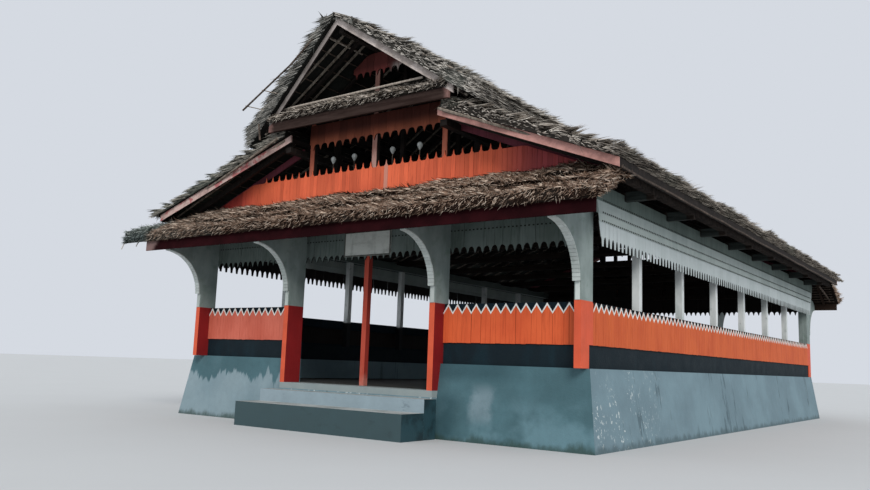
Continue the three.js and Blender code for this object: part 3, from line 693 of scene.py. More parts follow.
# Dark wood under the roof, made darker still as painted shade.
darkTimber = bareTimber("roofTimber", "2f2723", "1a1512")
poleTimber = bareTimber("roofPoles", "8f867b", "574e45")
dress(["tie_frame", "purlin_frame_right", "purlin_frame_left", "ridge_frame", "rafters_right", "rafters_left",
       "upper_rafters_right", "upper_rafters_left", "head_beam_front", "head_beam_back"], darkTimber)
dress([n for n in nodes if n.startswith("fin_")], finPaint(paintLines))
dress(["colonnade_right", "colonnade_left"], postPaint(paintLines))

# Rails: boards with pointed tops, white strokes along the points, a dark bar behind them.

railValues = {"pitch": 0.168, "joint": 0.003, "board": 0.022, "foot": 1.4405, "root": 1.902, "tip": 2.03,
              "stroke": 0.027, "strokeProud": 0.005, "strokeUp": 0.004, "strokeTip": 1.25,
              "barTop": 2.038, "barFoot": 1.84, "barBack": 0.089, "lowBarTop": 1.49,
              "jitter": (0.0, 0.0, 0.003), "sway": 0.0015}
sideRailValues = {**railValues, "pitch": 0.177, "root": 1.922}


def railRow(name, start, end, outward, finish, v, seed):
    # start and end are the ends of the outer face at the foot, as seen from outside, left to right.
    start, end = Vector(start), Vector(end)
    run = end - start
    count = max(1, round(run.length / v["pitch"]))
    step = run / count
    half = step.length / 2
    turn = math.atan2(run.y, run.x)
    j = v["joint"] / 2
    values = {"Count": count, "Start": start + step / 2, "Step": step, "Turn": turn, "Seed": seed,
              "Jitter": v["jitter"], "Sway": v["sway"], "Finish": finish}
    # Two boards to a tooth, each cut to its slope.
    risers = grow(unitBoard([(-half + j, v["foot"]), (-j, v["foot"]), (-j, v["tip"]), (-half + j, v["root"])],
                            v["board"]), rowTree, values)
    values["Seed"] = seed + 40
    fallers = grow(unitBoard([(j, v["foot"]), (half - j, v["foot"]), (half - j, v["root"]), (j, v["tip"])],
                             v["board"]), rowTree, values)
    # The white stroke along the points, a little above them and in front of them.
    s, proud = v["stroke"], v["strokeProud"]
    root, tip = v["root"] + v["strokeUp"], v["tip"] + v["strokeUp"]
    chevron = [(-half, v["root"] - s), (0, v["tip"] - s * v["strokeTip"]), (half, v["root"] - s),
               (half, root), (0, tip), (-half, root)]
    values["Finish"] = zigzagWhite
    trim = grow(unitBoard(chevron, proud + 0.001, -proud), rowTree, values)
    wood = Joinery(seed)
    inward = -Vector(outward)
    depth = v["barBack"] - v["board"] - 0.001
    middle = inward * (v["board"] + 0.0005 + depth / 2)
    for low, high in ((v["barFoot"], v["barTop"]), (v["foot"], v["lowBarTop"])):
        lift = Vector((0, 0, (low + high) / 2))
        wood.beam(start + middle + lift, end + middle + lift, depth, high - low)
    bars = wood.thing("bars", [railDark])
    return gather(name, [risers, fallers, trim, bars])


for side, sign, finish, seed in (("Right", 1, sideOrange, 3), ("Left", -1, leftOrange, 5)):
    x, y = sign * railPlaces["side"], sign * railPlaces["sideReach"]
    boards = railRow("railBoards" + side, (x, -y, 0), (x, y, 0), (sign, 0, 0), finish, sideRailValues, seed)
    deliver(boards, "orange_boards", "rail_" + side.lower())
for side, finish, seed in (("Left", frontSalmon, 7), ("Right", frontOrange, 9)):
    (x0, x1), y = railPlaces["front" + side], -railPlaces["end"]
    boards = railRow("railBoardsFront" + side, (x0, y, 0), (x1, y, 0), (0, -1, 0), finish, railValues, seed)
    deliver(boards, "orange_boards", "rail_front_" + side.lower())
bays = [railRow("backBay", (x0, railPlaces["end"], 0), (x1, railPlaces["end"], 0), (0, 1, 0), backOrange,
                railValues, 11 + k) for k, (x0, x1) in enumerate(railPlaces["back"])]
deliver(gather("railBoardsBack", bays), "orange_boards", "rail_back")
print("rails made")

# Toothed edges, pointing up or down.


def tooth(half, root, tip, stem=0.3, shoulder=0.75):
    # A spear point between round gaps, from the left root to the right root.
    rise = tip - root
    side = [(1.0, 0.0), (shoulder, 0.05), (stem + 0.12, 0.3), (stem, 0.6)]
    points = [(-half * a, root + rise * b) for a, b in side]
    return points + [(0, tip)] + [(-a, b) for a, b in reversed(points)]


def finger(half, root, tip, width, steps=4):
    # A blunt finger between round arches.
    points = []
    for k in range(steps + 1):
        across = half + (width - half) * k / steps
        arch = math.sqrt(max(0.0, 1 - ((half - across) / (half - width)) ** 2))
        points.append((-across, tip + (root - tip) * arch))
    return points + [(-a, b) for a, b in reversed(points)]


def bar(width, height):
    return [(-width / 2, 0), (width / 2, 0), (width / 2, height), (-width / 2, height)]


# The pale boards get painted shade on their faces inside the hall.
valanceSideLow = boardPaint("valancePaleSide", "bac3c4", "aeb8b8", "9aa4a4", inward=("x", 4.26),
                            roughness=0.75, grain=0.3)
valanceSideMid = boardPaint("valanceGreenGrey", "a3adaa", "939e9b", "7c8886", roughness=0.75, grain=0.35)
# The top course is darker paint, made darker still as painted shade under the eave.
valanceSideTop = boardPaint("valanceShadedTopCourse", "5e6b66", "505d58", "3c4743", roughness=0.75)
# Grey-green paint darkened as painted shade under the pent roof, with painted shade on the faces inside the
# hall.
valanceEnds = boardPaint("valanceEndShadedGreyGreen", "6b7673", "58645f", "3c4742", inward=("y", 7.0497),
                         roughness=0.75)
# Dark dentils: painted shade that stands for the shadowed notches along the seams.
dentilShade = bareTimber("dentilShade", "30332f", "1f2220")

# seams are the heights where one course of boards laps the next, reach is half the length at the foot,
# and flare is half the length at the top.
sideValanceValues = {"plane": 4.235, "board": 0.025, "thin": 0.011, "pitch": 0.1406, "joint": 0.001,
                     "tip": 2.83, "root": 2.965, "fingerHalf": 0.021, "seams": (3.17, 3.29, 3.46, 3.69),
                     "tuck": 0.012, "lap": 0.008, "reach": 7.0296, "flare": 7.268, "lengths": 3,
                     "jitter": (0.0, 0.0, 0.004), "sway": 0.002, "dentilPitch": 0.0703,
                     "dentil": (0.038, 0.022), "dentilThick": 0.006, "dentilJitter": (0.0, 0.003, 0.002),
                     "dentilSway": 0.03, "shelf": (4.147, 3.5795), "shelfReach": 7.1,
                     "shelfSize": (0.17, 0.038)}


def sideValance(name, sign, v, seed):
    # Fingered boards below, three lapping courses above them, and a row of dentils under each course.
    turn = math.radians(90 * sign)
    plane, board = v["plane"], v["board"]
    half, j = v["pitch"] / 2, v["joint"] / 2
    head = v["seams"][0] + v["tuck"]
    fingers = finger(half - j, v["root"], v["tip"], v["fingerHalf"])
    outline = [(-half + j, head)] + fingers + [(half - j, head)]
    values = {"Count": round(2 * v["reach"] / v["pitch"]), "Step": (0, v["pitch"], 0), "Turn": turn,
              "Start": Vector((sign * (plane + board), -v["reach"] + half, 0)), "Seed": seed,
              "Jitter": v["jitter"], "Sway": v["sway"], "Finish": valanceSideLow}
    parts = [grow(unitBoard(outline, v["thin"]), rowTree, values)]
    wood = Joinery(seed)

    def endAt(z):
        rise = (z - v["root"]) / (v["seams"][-1] - v["root"])
        return v["reach"] + (v["flare"] - v["reach"]) * rise

    for k in range(3):
        low, high = v["seams"][k], v["seams"][k + 1] + (v["tuck"] if k < 2 else 0)
        face = plane + board + v["lap"] * (k + 1)
        inner = plane if k else plane + board + 0.0005
        cuts = [-1.0] + sorted(wood.dice.uniform(-0.7, 0.7) for _ in range(v["lengths"] - 1)) + [1.0]
        for a, b in zip(cuts, cuts[1:]):
            corners = ((a * endAt(low) + 0.001, low), (b * endAt(low) - 0.001, low),
                       (b * endAt(high) - 0.001, high), (a * endAt(high) + 0.001, high))
            loop = [(sign * inner, y, z) for y, z in corners]
            wood.prism(loop, (sign * (face - inner), 0, 0), kind=k // 2)
        out = sign * (face + v["dentilThick"] / 2)
        values = {"Count": round(2 * v["reach"] / v["dentilPitch"]), "Step": (0, v["dentilPitch"], 0),
                  "Start": (out, -v["reach"] + v["dentilPitch"] / 2, low + 0.006), "Turn": turn,
                  "Seed": seed + k, "Jitter": v["dentilJitter"], "Sway": v["dentilSway"],
                  "Finish": dentilShade}
        parts.append(grow(unitBoard(bar(*v["dentil"]), v["dentilThick"]), rowTree, values))
    # The end boards that slant out to the flare, and the shelf that ties the valance to the plate.
    for end in (-1, 1):
        y, z = end * v["reach"], v["seams"][0] + 0.01
        loop = [(plane, y, v["root"]), (plane, end * endAt(v["seams"][0]), z), (plane, y, z)]
        wood.prism([(sign * a, b, c) for a, b, c in loop], (sign * board, 0, 0), kind=2)
    (x, z), y = v["shelf"], v["shelfReach"]
    wood.beam((sign * x, -y, z), (sign * x, y, z), *v["shelfSize"], kind=1)
    parts.append(wood.thing("courses", [valanceSideMid, valanceSideTop, valanceSideLow]))
    return gather(name, parts)


for side, sign, seed in (("Right", 1, 21), ("Left", -1, 27)):
    boards = sideValance("valanceBoards" + side, sign, sideValanceValues, seed)
    deliver(boards, "pale_paint", "valance_" + side.lower())

endValanceValues = {"back": 7.0253, "board": 0.0244, "half": 3.93, "pitch": 0.1404, "joint": 0.002,
                    "tip": 2.83, "root": 2.935, "top": 3.449, "stem": 0.24, "shoulder": 0.66,
                    "jitter": (0.0, 0.0, 0.004), "sway": 0.002, "dentilLow": 3.19, "dentilPitch": 0.0702,
                    "dentil": (0.03, 0.02), "dentilThick": 0.005, "dentilProud": 0.004,
                    "dentilJitter": (0.003, 0.0, 0.002), "dentilSway": 0.03}


def endValance(name, sign, v, seed):
    # Boards cut to spear points, with one row of dentils across them.
    half = v["pitch"] / 2 - v["joint"] / 2
    teeth = tooth(half, v["root"], v["tip"], v["stem"], v["shoulder"])
    face = v["back"] + v["board"]
    values = {"Count": round(2 * v["half"] / v["pitch"]), "Step": (v["pitch"], 0, 0),
              "Start": (-v["half"] + v["pitch"] / 2, sign * face, 0), "Turn": 0.0 if sign < 0 else math.pi,
              "Seed": seed, "Jitter": v["jitter"], "Sway": v["sway"], "Finish": valanceEnds}
    boards = grow(unitBoard([(-half, v["top"])] + teeth + [(half, v["top"])], v["board"]), rowTree, values)
    out = sign * (face + v["dentilProud"])
    values.update({"Count": round(2 * v["half"] / v["dentilPitch"]), "Step": (v["dentilPitch"], 0, 0),
                   "Start": (-v["half"] + v["dentilPitch"] / 2, out, v["dentilLow"]),
                   "Jitter": v["dentilJitter"], "Sway": v["dentilSway"], "Finish": dentilShade})
    pegs = grow(unitBoard(bar(*v["dentil"]), v["dentilThick"]), rowTree, values)
    return gather(name, [boards, pegs])


for end, sign, seed in (("Front", -1, 31), ("Back", 1, 33)):
    boards = endValance("valanceBoards" + end, sign, endValanceValues, seed)
    deliver(boards, "pale_paint", "valance_" + end.lower())
print("valances made")

# Gable walls: pickets cut under the roof, the posts of the window, and two rows of hanging boards.

gableValues = {"face": 7.037, "board": 0.024, "half": 3.93, "foot": 3.4505, "root": 4.44, "tip": 4.557,
               "pitch": 0.1747, "joint": 0.004, "eave": 4.844, "under": 3.72, "slope": 0.4026, "clear": 0.014,
               "picket": (0.26, 0.92), "tipDrop": 0.008, "tipRise": 0.006, "proud": 0.003,
               "posts": (-1.5, 0.0, 1.5), "post": 0.1, "sideTop": 5.456, "middleTop": 6.549,
               "rails": ((3.48, 0.06, 3.93), (4.25, 0.05, 3.1)), "railWidth": 0.058, "railIn": 0.03,
               "hangTip": 4.93, "hangRoot": 5.045, "hangTop": 5.405, "hangHalf": 1.55, "hangPitch": 0.1824,
               "highTip": 6.115, "highRoot": 6.22, "highHalf": 0.708, "highPitch": 0.1573, "highTop": 6.538,
               "hangTooth": (0.17, 0.55), "hangJoint": 0.004, "upperUnder": 6.69, "upperSlope": 0.6746}
gablePaintValues = {"bare": 7.031, "postBare": 7.004, "redLeft": (-2.6, -3.6), "pinkRight": (2.3, 3.4),
                    "pale": (0.265, 0.349), "lowerDark": (5.0, 5.26), "upperDark": (6.18, 6.34),
                    "rows": (5.6, 5.7), "bleached": (0.45, 0.7), "middlePost": (-0.2, 0.2)}


def picketPaint(v):
    # Orange in the middle, dark red to the left and dark pink to the right, each picket in its own shade.
    f = Finish("pickets", 0.7)
    tone = f.tone()
    lines = f.noise(26, (1, 1, 0.06), 4, 0.7, 2)
    color = f.fade(f.noise(1.2, shift=4), 0.35, 0.7, "e26b47", "d36040")
    color = f.fade(f.x, *v["pinkRight"], color, "a5474a")
    color = f.fade(f.x, *v["redLeft"], color, "a33a33")
    pale = f.within(f.x, *v["pale"], 0.004)
    color = f.blend(f.times(pale, 0.6), color, "d8a898")
    color = f.vary(color, tone, 0.34, 0.8)
    color = f.fade(lines, 0.5, 0.72, color, "8e3628", 0.5)
    # Painted shade on the faces inside the hall.
    color = f.bareInside(color, f.y, v["bare"], "1a1412")
    f.bump(lines, 0.0025)
    return f.doneRough(color, lines, 0.3, 0.55)


def hangingPaint(v):
    # Rusty brown, with painted shade towards the top of each row under the roof, and bleached at the points
    # of the upper row's right end.
    f = Finish("hangingBoards", 0.75)
    lines = f.noise(24, (1, 1, 0.08), 4, 0.7, 5)
    # Painted shade towards the top of the lower row.
    low = f.fade(f.z, *v["lowerDark"], "a0583f", "4d241c")
    high = f.fade(f.plus(f.x, f.times(f.noise(9), 0.5)), *v["bleached"], "84403c", "b9aca6")
    # Painted shade towards the top of the upper row.
    high = f.fade(f.z, *v["upperDark"], high, "5f2e2b")
    color = f.fade(f.z, *v["rows"], low, high)
    color = f.vary(color, f.tone(), 0.4, 0.75)
    color = f.fade(lines, 0.5, 0.72, color, "5d3228", 0.5)
    # Painted shade on the faces inside the hall.
    color = f.bareInside(color, f.y, v["bare"], "1a1412")
    f.bump(lines, 0.0025)
    return f.done(color, 0.7)


def gablePostPaint(v):
    # Brick red, and bleached on the post in the middle.
    f = Finish("gablePosts", 0.8)
    wear = f.noise(7, (1, 1, 0.3), 5, 0.65, 3)
    color = f.fade(wear, 0.4, 0.65, "b3664f", "9a5240")
    middle = f.within(f.x, *v["middlePost"], 0.05)
    color = f.blend(middle, color, f.fade(wear, 0.4, 0.65, "b99186", "9a6f64"))
    # Painted shade on the faces inside the hall.
    color = f.bareInside(color, f.y, v["postBare"], "1c1613", 0.014)
    f.bump(wear, 0.002)
    return f.done(color)


# The finish of each part, in the order of gableFinishes.
pickets, hanging, posts = range(3)


def gableWall(name, sign, finishes, v, seed):
    wood = Joinery(seed)
    face, thick = v["face"], v["board"]

    def plank(outline, proud, kind):
        y = sign * (face - proud)
        wood.prism([(a, y, b) for a, b in outline], (0, -sign * (thick - proud), 0), kind=kind)

    def under(x):
        return v["under"] + v["slope"] * (v["eave"] - abs(x)) - v["clear"]

    def flat(x):
        return v["hangTop"]

    def sloping(x):
        return min(v["highTop"], v["upperUnder"] - v["clear"] - v["upperSlope"] * abs(x))

    def places(half, count, joint):
        # Middles of the boards in a row, and half the width of each.
        step = 2 * half / count
        return [(-half + (k + 0.5) * step, step / 2 - joint / 2) for k in range(count)]

    # Pointed boards take turns with flat ones.
    count = 2 * round(2 * v["half"] / v["pitch"])
    for k, (x, h) in enumerate(places(v["half"], count, v["joint"])):
        tip = v["tip"] + wood.dice.uniform(-v["tipDrop"], 0.0)
        foot = [(x - h, v["foot"]), (x + h, v["foot"])]
        if k % 2 == 0 and under(abs(x) + h) > v["root"] + 0.01 and under(x) > tip:
            head = [(x + a, b) for a, b in tooth(h, v["root"], tip, *v["picket"])][::-1]
        else:
            head = [(x + h, min(under(x + h), v["root"])), (x - h, min(under(x - h), v["root"]))]
        plank(foot + head, wood.dice.uniform(0, v["proud"]), pickets)
    for row, top in (("hang", flat), ("high", sloping)):
        half, root = v[row + "Half"], v[row + "Root"]
        for x, h in places(half, round(2 * half / v[row + "Pitch"]), v["hangJoint"]):
            if top(abs(x) + h) <= root + 0.01:
                continue
            tip = v[row + "Tip"] + wood.dice.uniform(0, v["tipRise"])
            teeth = tooth(h, root, tip, *v["hangTooth"])
            outline = [(x - h, top(x - h))] + [(x + a, b) for a, b in teeth] + [(x + h, top(x + h))]
            plank(outline, wood.dice.uniform(0, v["proud"]), hanging)
    inner = face - thick - 0.0005
    post, y = v["post"], sign * (inner - v["post"] / 2)
    for x in v["posts"]:
        top = v["middleTop"] if x == 0 else v["sideTop"]
        wood.beam((x, y, v["foot"]), (x, y, top), post, post, up=(0, 1, 0), kind=posts, chamfer=0.006)
    y = sign * (inner - v["railIn"])
    for z, depth, reach in v["rails"]:
        wood.beam((-reach, y, z), (reach, y, z), v["railWidth"], depth, kind=posts)
    return wood.thing(name, finishes)


gableFinishes = [paint(gablePaintValues) for paint in (picketPaint, hangingPaint, gablePostPaint)]
for end, sign, seed in (("Front", -1, 41), ("Back", 1, 43)):
    boards = gableWall("gableBoards" + end, sign, gableFinishes, gableValues, seed)
    deliver(boards, "orange_boards", "gable_" + end.lower())
print("gables made")

# Pale boards along the curve of each bracket, and the narrow board below them.

trimValues = {"fins": (-3.93, -1.506, 1.662, 4.0985), "centre": 8.2297, "foot": 2.3, "across": 0.7707,
              "rise": 0.76, "turn": (1.5, 87.0), "steps": 24, "board": 0.016, "width": 0.113, "pitch": 0.056,
              "length": 0.051, "lowFront": 7.4245, "lowFoot": 2.042, "lowSize": (0.07, 0.01),
              "seed": 51}


def finTrim(name, v):
    # The boards follow a quarter of an ellipse under each bracket.
    paint = boardPaint("finTrimPale", "c4cbc8", "b0b8b4", "8b9490", grain=0.6, roughness=0.75)
    points, edges = [], []
    inset = v["board"] / 2 + 0.0005
    across, rise = v["across"] - inset, v["rise"] - inset
    first, last = v["turn"]
    places = [(x, sign) for sign in (-1, 1) for x in v["fins"]]
    for x, sign in places:
        base = len(points)
        for k in range(v["steps"] + 1):
            angle = math.radians(first + (last - first) * k / v["steps"])
            y, z = v["centre"] - across * math.cos(angle), v["foot"] + rise * math.sin(angle)
            points.append((x, sign * y, z))
        edges += [(base + k, base + k + 1) for k in range(v["steps"])]
    path = bpy.data.meshes.new("bracketPaths")
    path.from_pydata(points, edges, [])
    values = {"Pitch": v["pitch"], "Seed": 4, "Width": v["width"], "Length": v["length"],
              "Thickness": v["board"], "Finish": paint}
    boards = grow(path, pathTree, values)
    wood = Joinery(v["seed"])
    for x, sign in places:
        foot, head = (x, sign * v["lowFront"], v["lowFoot"]), (x, sign * v["lowFront"], v["foot"] - 0.004)
        wood.beam(foot, head, *v["lowSize"], up=(0, 1, 0), chamfer=0.002)
    return gather(name, [boards, wood.thing("lowTrim", [paint])])


deliver(finTrim("finTrims", trimValues), "pale_paint")
print("bracket trims made")

# Thatch: a core of stepped courses with leaves grown over it, thickest along the verges and the eaves.


def blade(length, width, thick):
    # A thin pointed strand along +X.
    points = [(0, -width / 2, 0), (0, width / 2, 0), (0, 0, thick), (length, 0, 0)]
    leaf = bpy.data.meshes.new("thatchBlade")
    leaf.from_pydata(points, [], [(0, 2, 1), (0, 3, 2), (2, 3, 1), (1, 3, 0)])
    faceOut(leaf)
    return bpy.data.objects.new("thatchBlade", leaf)


thatchLooks = {"greener": (-1.5, -4.5), "greyEnd": (-4.0, -4.3), "greyHalf": (0.0, -1.0)}


def thatchFinish(name, dark, mid, light, moss, mossy, gap=0.25, greyEnd=False):
    # Each strand in its own tone, with painted shade in the gaps under the courses, at the foot and
    # underneath, and mossier to the left. The pent at the front also has a grey left end.
    v = thatchLooks
    f = Finish(name, 0.95, 0.08)
    tone = f.tone()
    color = f.fade(tone, 0.0, 0.55, dark, mid)
    color = f.fade(tone, 0.6, 1.0, color, light)
    left = f.times(f.span(f.x, *v["greener"]), 0.22)
    green = f.plus(f.noise(0.9, detail=5, roughness=0.6, shift=3), left)
    color = f.blend(f.times(f.span(green, 0.5, 0.72), mossy), color, moss)
    if greyEnd:
        end = f.span(f.plus(f.x, f.times(f.noise(3, shift=5), 0.5)), *v["greyEnd"])
        end = f.times(end, f.span(f.y, *v["greyHalf"]))
        color = f.blend(end, color, f.blend(tone, "232b2a", "8f9a97"))
    color = f.vary(color, f.noise(5, detail=5, shift=8), 0.9, 0.6)
    # Painted shade from the depth attribute. gap is how dark the deepest shade goes.
    color = f.vary(color, f.span(f.tone("depth"), 0.1, 0.75), 1.0 - gap, gap)
    f.bump(f.noise(60, detail=3), 0.004)
    return f.done(color)


def courses(foot, head, count, lip, dice):
    # The foot of each course across the slope, and how deep its end is, then the head of the last one.
    step = (head - foot) / count
    return [(foot + step * k + dice.uniform(-0.03, 0.03) * (0 < k < count), lip * dice.uniform(0.7, 1.2))
            for k in range(count)] + [(head, 0.0)]


boxMargin = 0.002
boxLow, boxHigh = [edge + boxMargin for edge in cadLow], [edge - boxMargin for edge in cadHigh]


def clampPiece(piece):
    # Keeps the tips of the leaves within the box of the solids.
    count = len(piece.data.vertices)
    flat = [0.0] * (3 * count)
    piece.data.vertices.foreach_get("co", flat)
    for axis in range(3):
        flat[axis::3] = [min(max(c, boxLow[axis]), boxHigh[axis]) for c in flat[axis::3]]
    piece.data.vertices.foreach_set("co", flat)
    piece.data.update()


def hump(at):
    # Swells the thatch beside the ridge.
    return math.exp(-((at - 0.52) / 0.3) ** 2)


def belly(at):
    # Keeps it full further down.
    return 0.7 * min(max((at - 1.0) / 0.6, 0.0), 1.0)


def coverWith(core, leaf, finish, flow, seed, v):
    # Grows leaves over a core whose points say how thickly each place is covered.
    return grow(core, coverTree, {
        "Leaf": leaf, "Density": v["density"], "Flow": flow, "Lift": v["lift"], "Seed": seed,
        "Bristle": v["bristle"], "Ruffle": v["ruffle"], "Spread": v["spread"], "Small": v["small"],
        "Large": v["large"], "Finish": finish})


# How far and how fast the courses wander along a roof; the rates are radians a metre.
wander = {"rate": 0.7, "rateStep": 0.9, "lip": 0.45, "lipRate": 2.3, "gap": (0.6, 0.4), "gapRate": 1.4,
          "lumpAlong": (1.9, 3.7), "lumpAcross": (7, 4)}


def thatch(name, v, place, finish, sign):
    # place(across, along, height) gives the point; under, top and limit are heights across the slope. Each
    # ring runs along the underside and back up over the stepped ends of the courses.
    seed = v["seed"] + sign
    dice = random.Random(seed)
    wood = Joinery(seed)
    rows = courses(v["foot"], v["head"], v["courses"], v["lip"], dice)
    rings, covers, depths = [], [], []
    waves = [[dice.uniform(0, 6.283) for _ in range(3)] for _ in rows]
    under, limit = v["under"], v["limit"]
    edge = v["edge"] / v["length"]
    rim = v["rim"] / v["length"]
    stops = [0.0, rim, edge] + [k / v["rings"] for k in range(1, v["rings"])] + [1.0 - edge, 1.0 - rim, 1.0]
    for t in stops:
        verge = v["vergeCover"] if min(t, 1.0 - t) <= rim else 1.0
        capped = t in (0.0, 1.0)
        along = t * v["length"]
        # depth carries painted shade: low on the underside, in the gaps and at the foot.
        ring, cover, depth = [], [], []
        for a in (v["head"], (v["head"] + v["foot"]) / 2, v["foot"]):
            ring.append(place(a, t, under(a)))
            cover.append(v["endCover"] * verge * capped)
            depth.append(v["underTone"])
        for k, (a, lip) in enumerate(rows):
            wave = sum(math.sin(w + along * (wander["rate"] + wander["rateStep"] * j))
                       for j, w in enumerate(waves[k])) / 3
            at = a + wave * v["wave"] * (k > 0)
            lip *= 1.0 + wander["lip"] * math.sin(waves[k][0] + wander["lipRate"] * t * v["length"])
            crown = v["crown"] * (hump(at) + belly(at))
            (fast, faster), (across, back) = wander["lumpAlong"], wander["lumpAcross"]
            crown += (v["lump"] * math.sin(fast * along + across * at + waves[k][1]) *
                      math.sin(faster * along - back * at + waves[0][0]))
            top = min(v["top"](at) + crown - v["sink"], limit(at, t))
            low = max(min(top - lip, limit(at, t)), under(at) + v["thin"])
            top = max(top, low + v["rim"])
            near = v["footCover"] if k == 0 else 1.0
            shown = 0.0 if limit(at, t) < v["top"](at) - v["sink"] - v["buried"] else 1.0
            if k > 0:
                least, more = wander["gap"]
                gap = v["gap"] * (least + more * math.sin(waves[k][2] + wander["gapRate"] * along))
                below = v["top"](at + gap) + crown - v["sink"] - lip
                below = min(max(below, under(at) + v["thin"]), limit(at, t))
                ring += [place(at + gap, t, below), place(at - v["undercut"] * (lip > 0), t, low)]
                cover += [max(1.0, verge) * shown, v["between"] * max(1.0, verge) * shown]
                depth += [v["lapTone"], 0.0]
            if k < len(rows) - 1:
                ring.append(place(at, t, top))
                cover.append(near * verge * shown)
                depth.append(v["footTone"] if k == 0 else 1.0)
        rings.append(ring)
        covers.append(cover)
        depths.append([max(d, v["endTone"]) for d in depth] if capped else depth)
    wood.loft(rings, 0, v["core"], covers, depths)
    made = named(coverWith(wood.mesh(name, [finish]), v["leaf"], finish, v["flow"], seed, v), name)
    clampPiece(made)
    return made


def slope(height, fall, start=0.0):
    # A plane of this height at start, falling away from the middle of the hall.
    return lambda a: height + fall * (start - a)


upperPlane = slope(6.8803, 0.5977)


def upperTop(a):
    # Bulges half-way down.
    return upperPlane(a) + 0.08 * math.sin(math.pi * min(a, 2.6) / 2.6)


def freely(at, t):
    return 99.0


broadLeaf, straw = blade(0.28, 0.032, 0.012), blade(0.145, 0.02, 0.012)

# Values of each roof slope. foot and head are distances from the middle of the hall, and lip is the depth of
# a course's end. vergeCover, footCover, between and endCover say how thickly leaves grow along the verges, at
# the foot, between the courses and on the underside's ends. The tones are painted shade, 0 in the deepest
# gaps and 1 on top, and core is the tone of the core itself, kept dark as painted shade between the leaves.
# Where a slope lies deeper than buried under another, it has no leaves.
slopeValues = {"sink": 0.04, "wave": 0.08, "rings": 60, "gap": 0.05, "undercut": 0.03, "edge": 0.12,
               "vergeCover": 4.0, "footCover": 4.0, "between": 0.2, "density": 530.0, "lift": 0.05,
               "small": 0.6, "large": 1.25, "limit": freely, "core": 0.05, "lump": 0.02, "leaf": broadLeaf,
               "endCover": 0.4, "endTone": 0.6, "underTone": 0.3, "lapTone": 0.85, "thin": 0.02,
               "buried": 0.14, "rim": 0.002}
mainValues = {**slopeValues, "seed": 61, "foot": 4.80, "head": 1.74, "courses": 11, "lip": 0.07,
              "length": 15.6, "bristle": (1.1, 0.3, 0.0), "ruffle": 1.3, "spread": (0.4, 0.06, 0.24),
              "crown": 0.0, "footTone": 0.35, "under": slope(5.8125, 0.4026), "top": slope(6.1031, 0.42737)}
upperValues = {**slopeValues, "seed": 66, "foot": 2.5, "head": 0.012, "courses": 8, "lip": 0.08,
               "length": 16.0, "bristle": (0.9, 0.3, 0.0), "ruffle": 1.4, "spread": (0.4, 0.06, 0.2),
               "crown": 0.02, "footTone": 0.7, "under": slope(6.7823, 0.6746), "top": upperTop}
pentValues = {**slopeValues, "seed": 71, "foot": 8.31, "head": 7.05, "courses": 3, "lip": 0.08, "sink": 0.0,
              "wave": 0.17, "rings": 72, "gap": 0.16, "undercut": 0.04, "edge": 0.1, "length": 10.0,
              "vergeCover": 3.0, "footCover": 1.7, "between": 0.1, "density": 1500.0, "lift": 0.16,
              "bristle": (0.9, 0.7, 0.0), "ruffle": 1.6, "spread": (0.8, 0.35, 1.0), "core": 0.0,
              "crown": 0.0, "lump": 0.035, "footTone": 1.0, "leaf": straw,
              "under": slope(3.267, 0.504, 8.237), "top": slope(3.435, 0.504, 8.237)}
smallPentValues = {**pentValues, "seed": 76, "foot": 7.68, "head": 7.07, "courses": 2, "lip": 0.045,
                   "wave": 0.06, "rings": 28, "gap": 0.13, "undercut": 0.02, "edge": 0.08, "length": 4.0,
                   "vergeCover": 2.5, "footCover": 1.8, "lift": 0.14, "bristle": (0.8, 0.7, 0.0),
                   "ruffle": 1.2, "under": slope(5.3725, 0.5, 7.66), "top": slope(5.4805, 0.5, 7.66)}

# Where the slopes end: the verges and how they rake, and the pent between its two ends.
roofEnds = {"mainVerge": 7.845, "mainRake": 0.1111, "mainAt": 4.844, "mainFall": 0.4026, "eaveUnder": 3.69,
            "upperVerge": 8.19, "upperRake": 0.243, "upperEdge": 8.107, "pentLeft": -5.2, "pentRight": 4.78,
            "pentWall": 7.72, "thinFrom": -4.45, "thinOver": 0.7, "thick": 0.17, "thinner": 0.07,
            "smallPent": 1.95}


def pentLimit(a, t):
    # Keeps the pent's ends under the eaves of the main roof, and thins them out past the fascia.
    v = roofEnds
    x = v["pentLeft"] + t * (v["pentRight"] - v["pentLeft"])
    if x < v["thinFrom"]:
        out = min(max((v["thinFrom"] - x) / v["thinOver"], 0.0), 1.0)
        thin = pentValues["under"](a) + v["thick"] - v["thinner"] * out
        return thin if a > v["pentWall"] else min(thin, v["eaveUnder"])
    if a > v["pentWall"]:
        return freely(a, t)
    return max(v["eaveUnder"], v["eaveUnder"] + v["mainFall"] * (v["mainAt"] - abs(x)))


def mainPlace(sign):
    def place(a, t, h):
        end = roofEnds["mainVerge"] - roofEnds["mainRake"] * (roofEnds["mainAt"] - a)
        return (sign * a, end * (2 * t - 1), h)
    return place


def upperPlace(sign):
    def place(a, t, h):
        end = roofEnds["upperVerge"] - roofEnds["upperRake"] * a
        return (sign * a, end * (2 * t - 1), h)
    return place


def pentPlace(sign, low, high):
    def place(a, t, h):
        return (low + t * (high - low), sign * a, h)
    return place


mainThatch = thatchFinish("mainThatch", "2f2c29", "a1988e", "e0d8cc", "7b8278", 0.5)
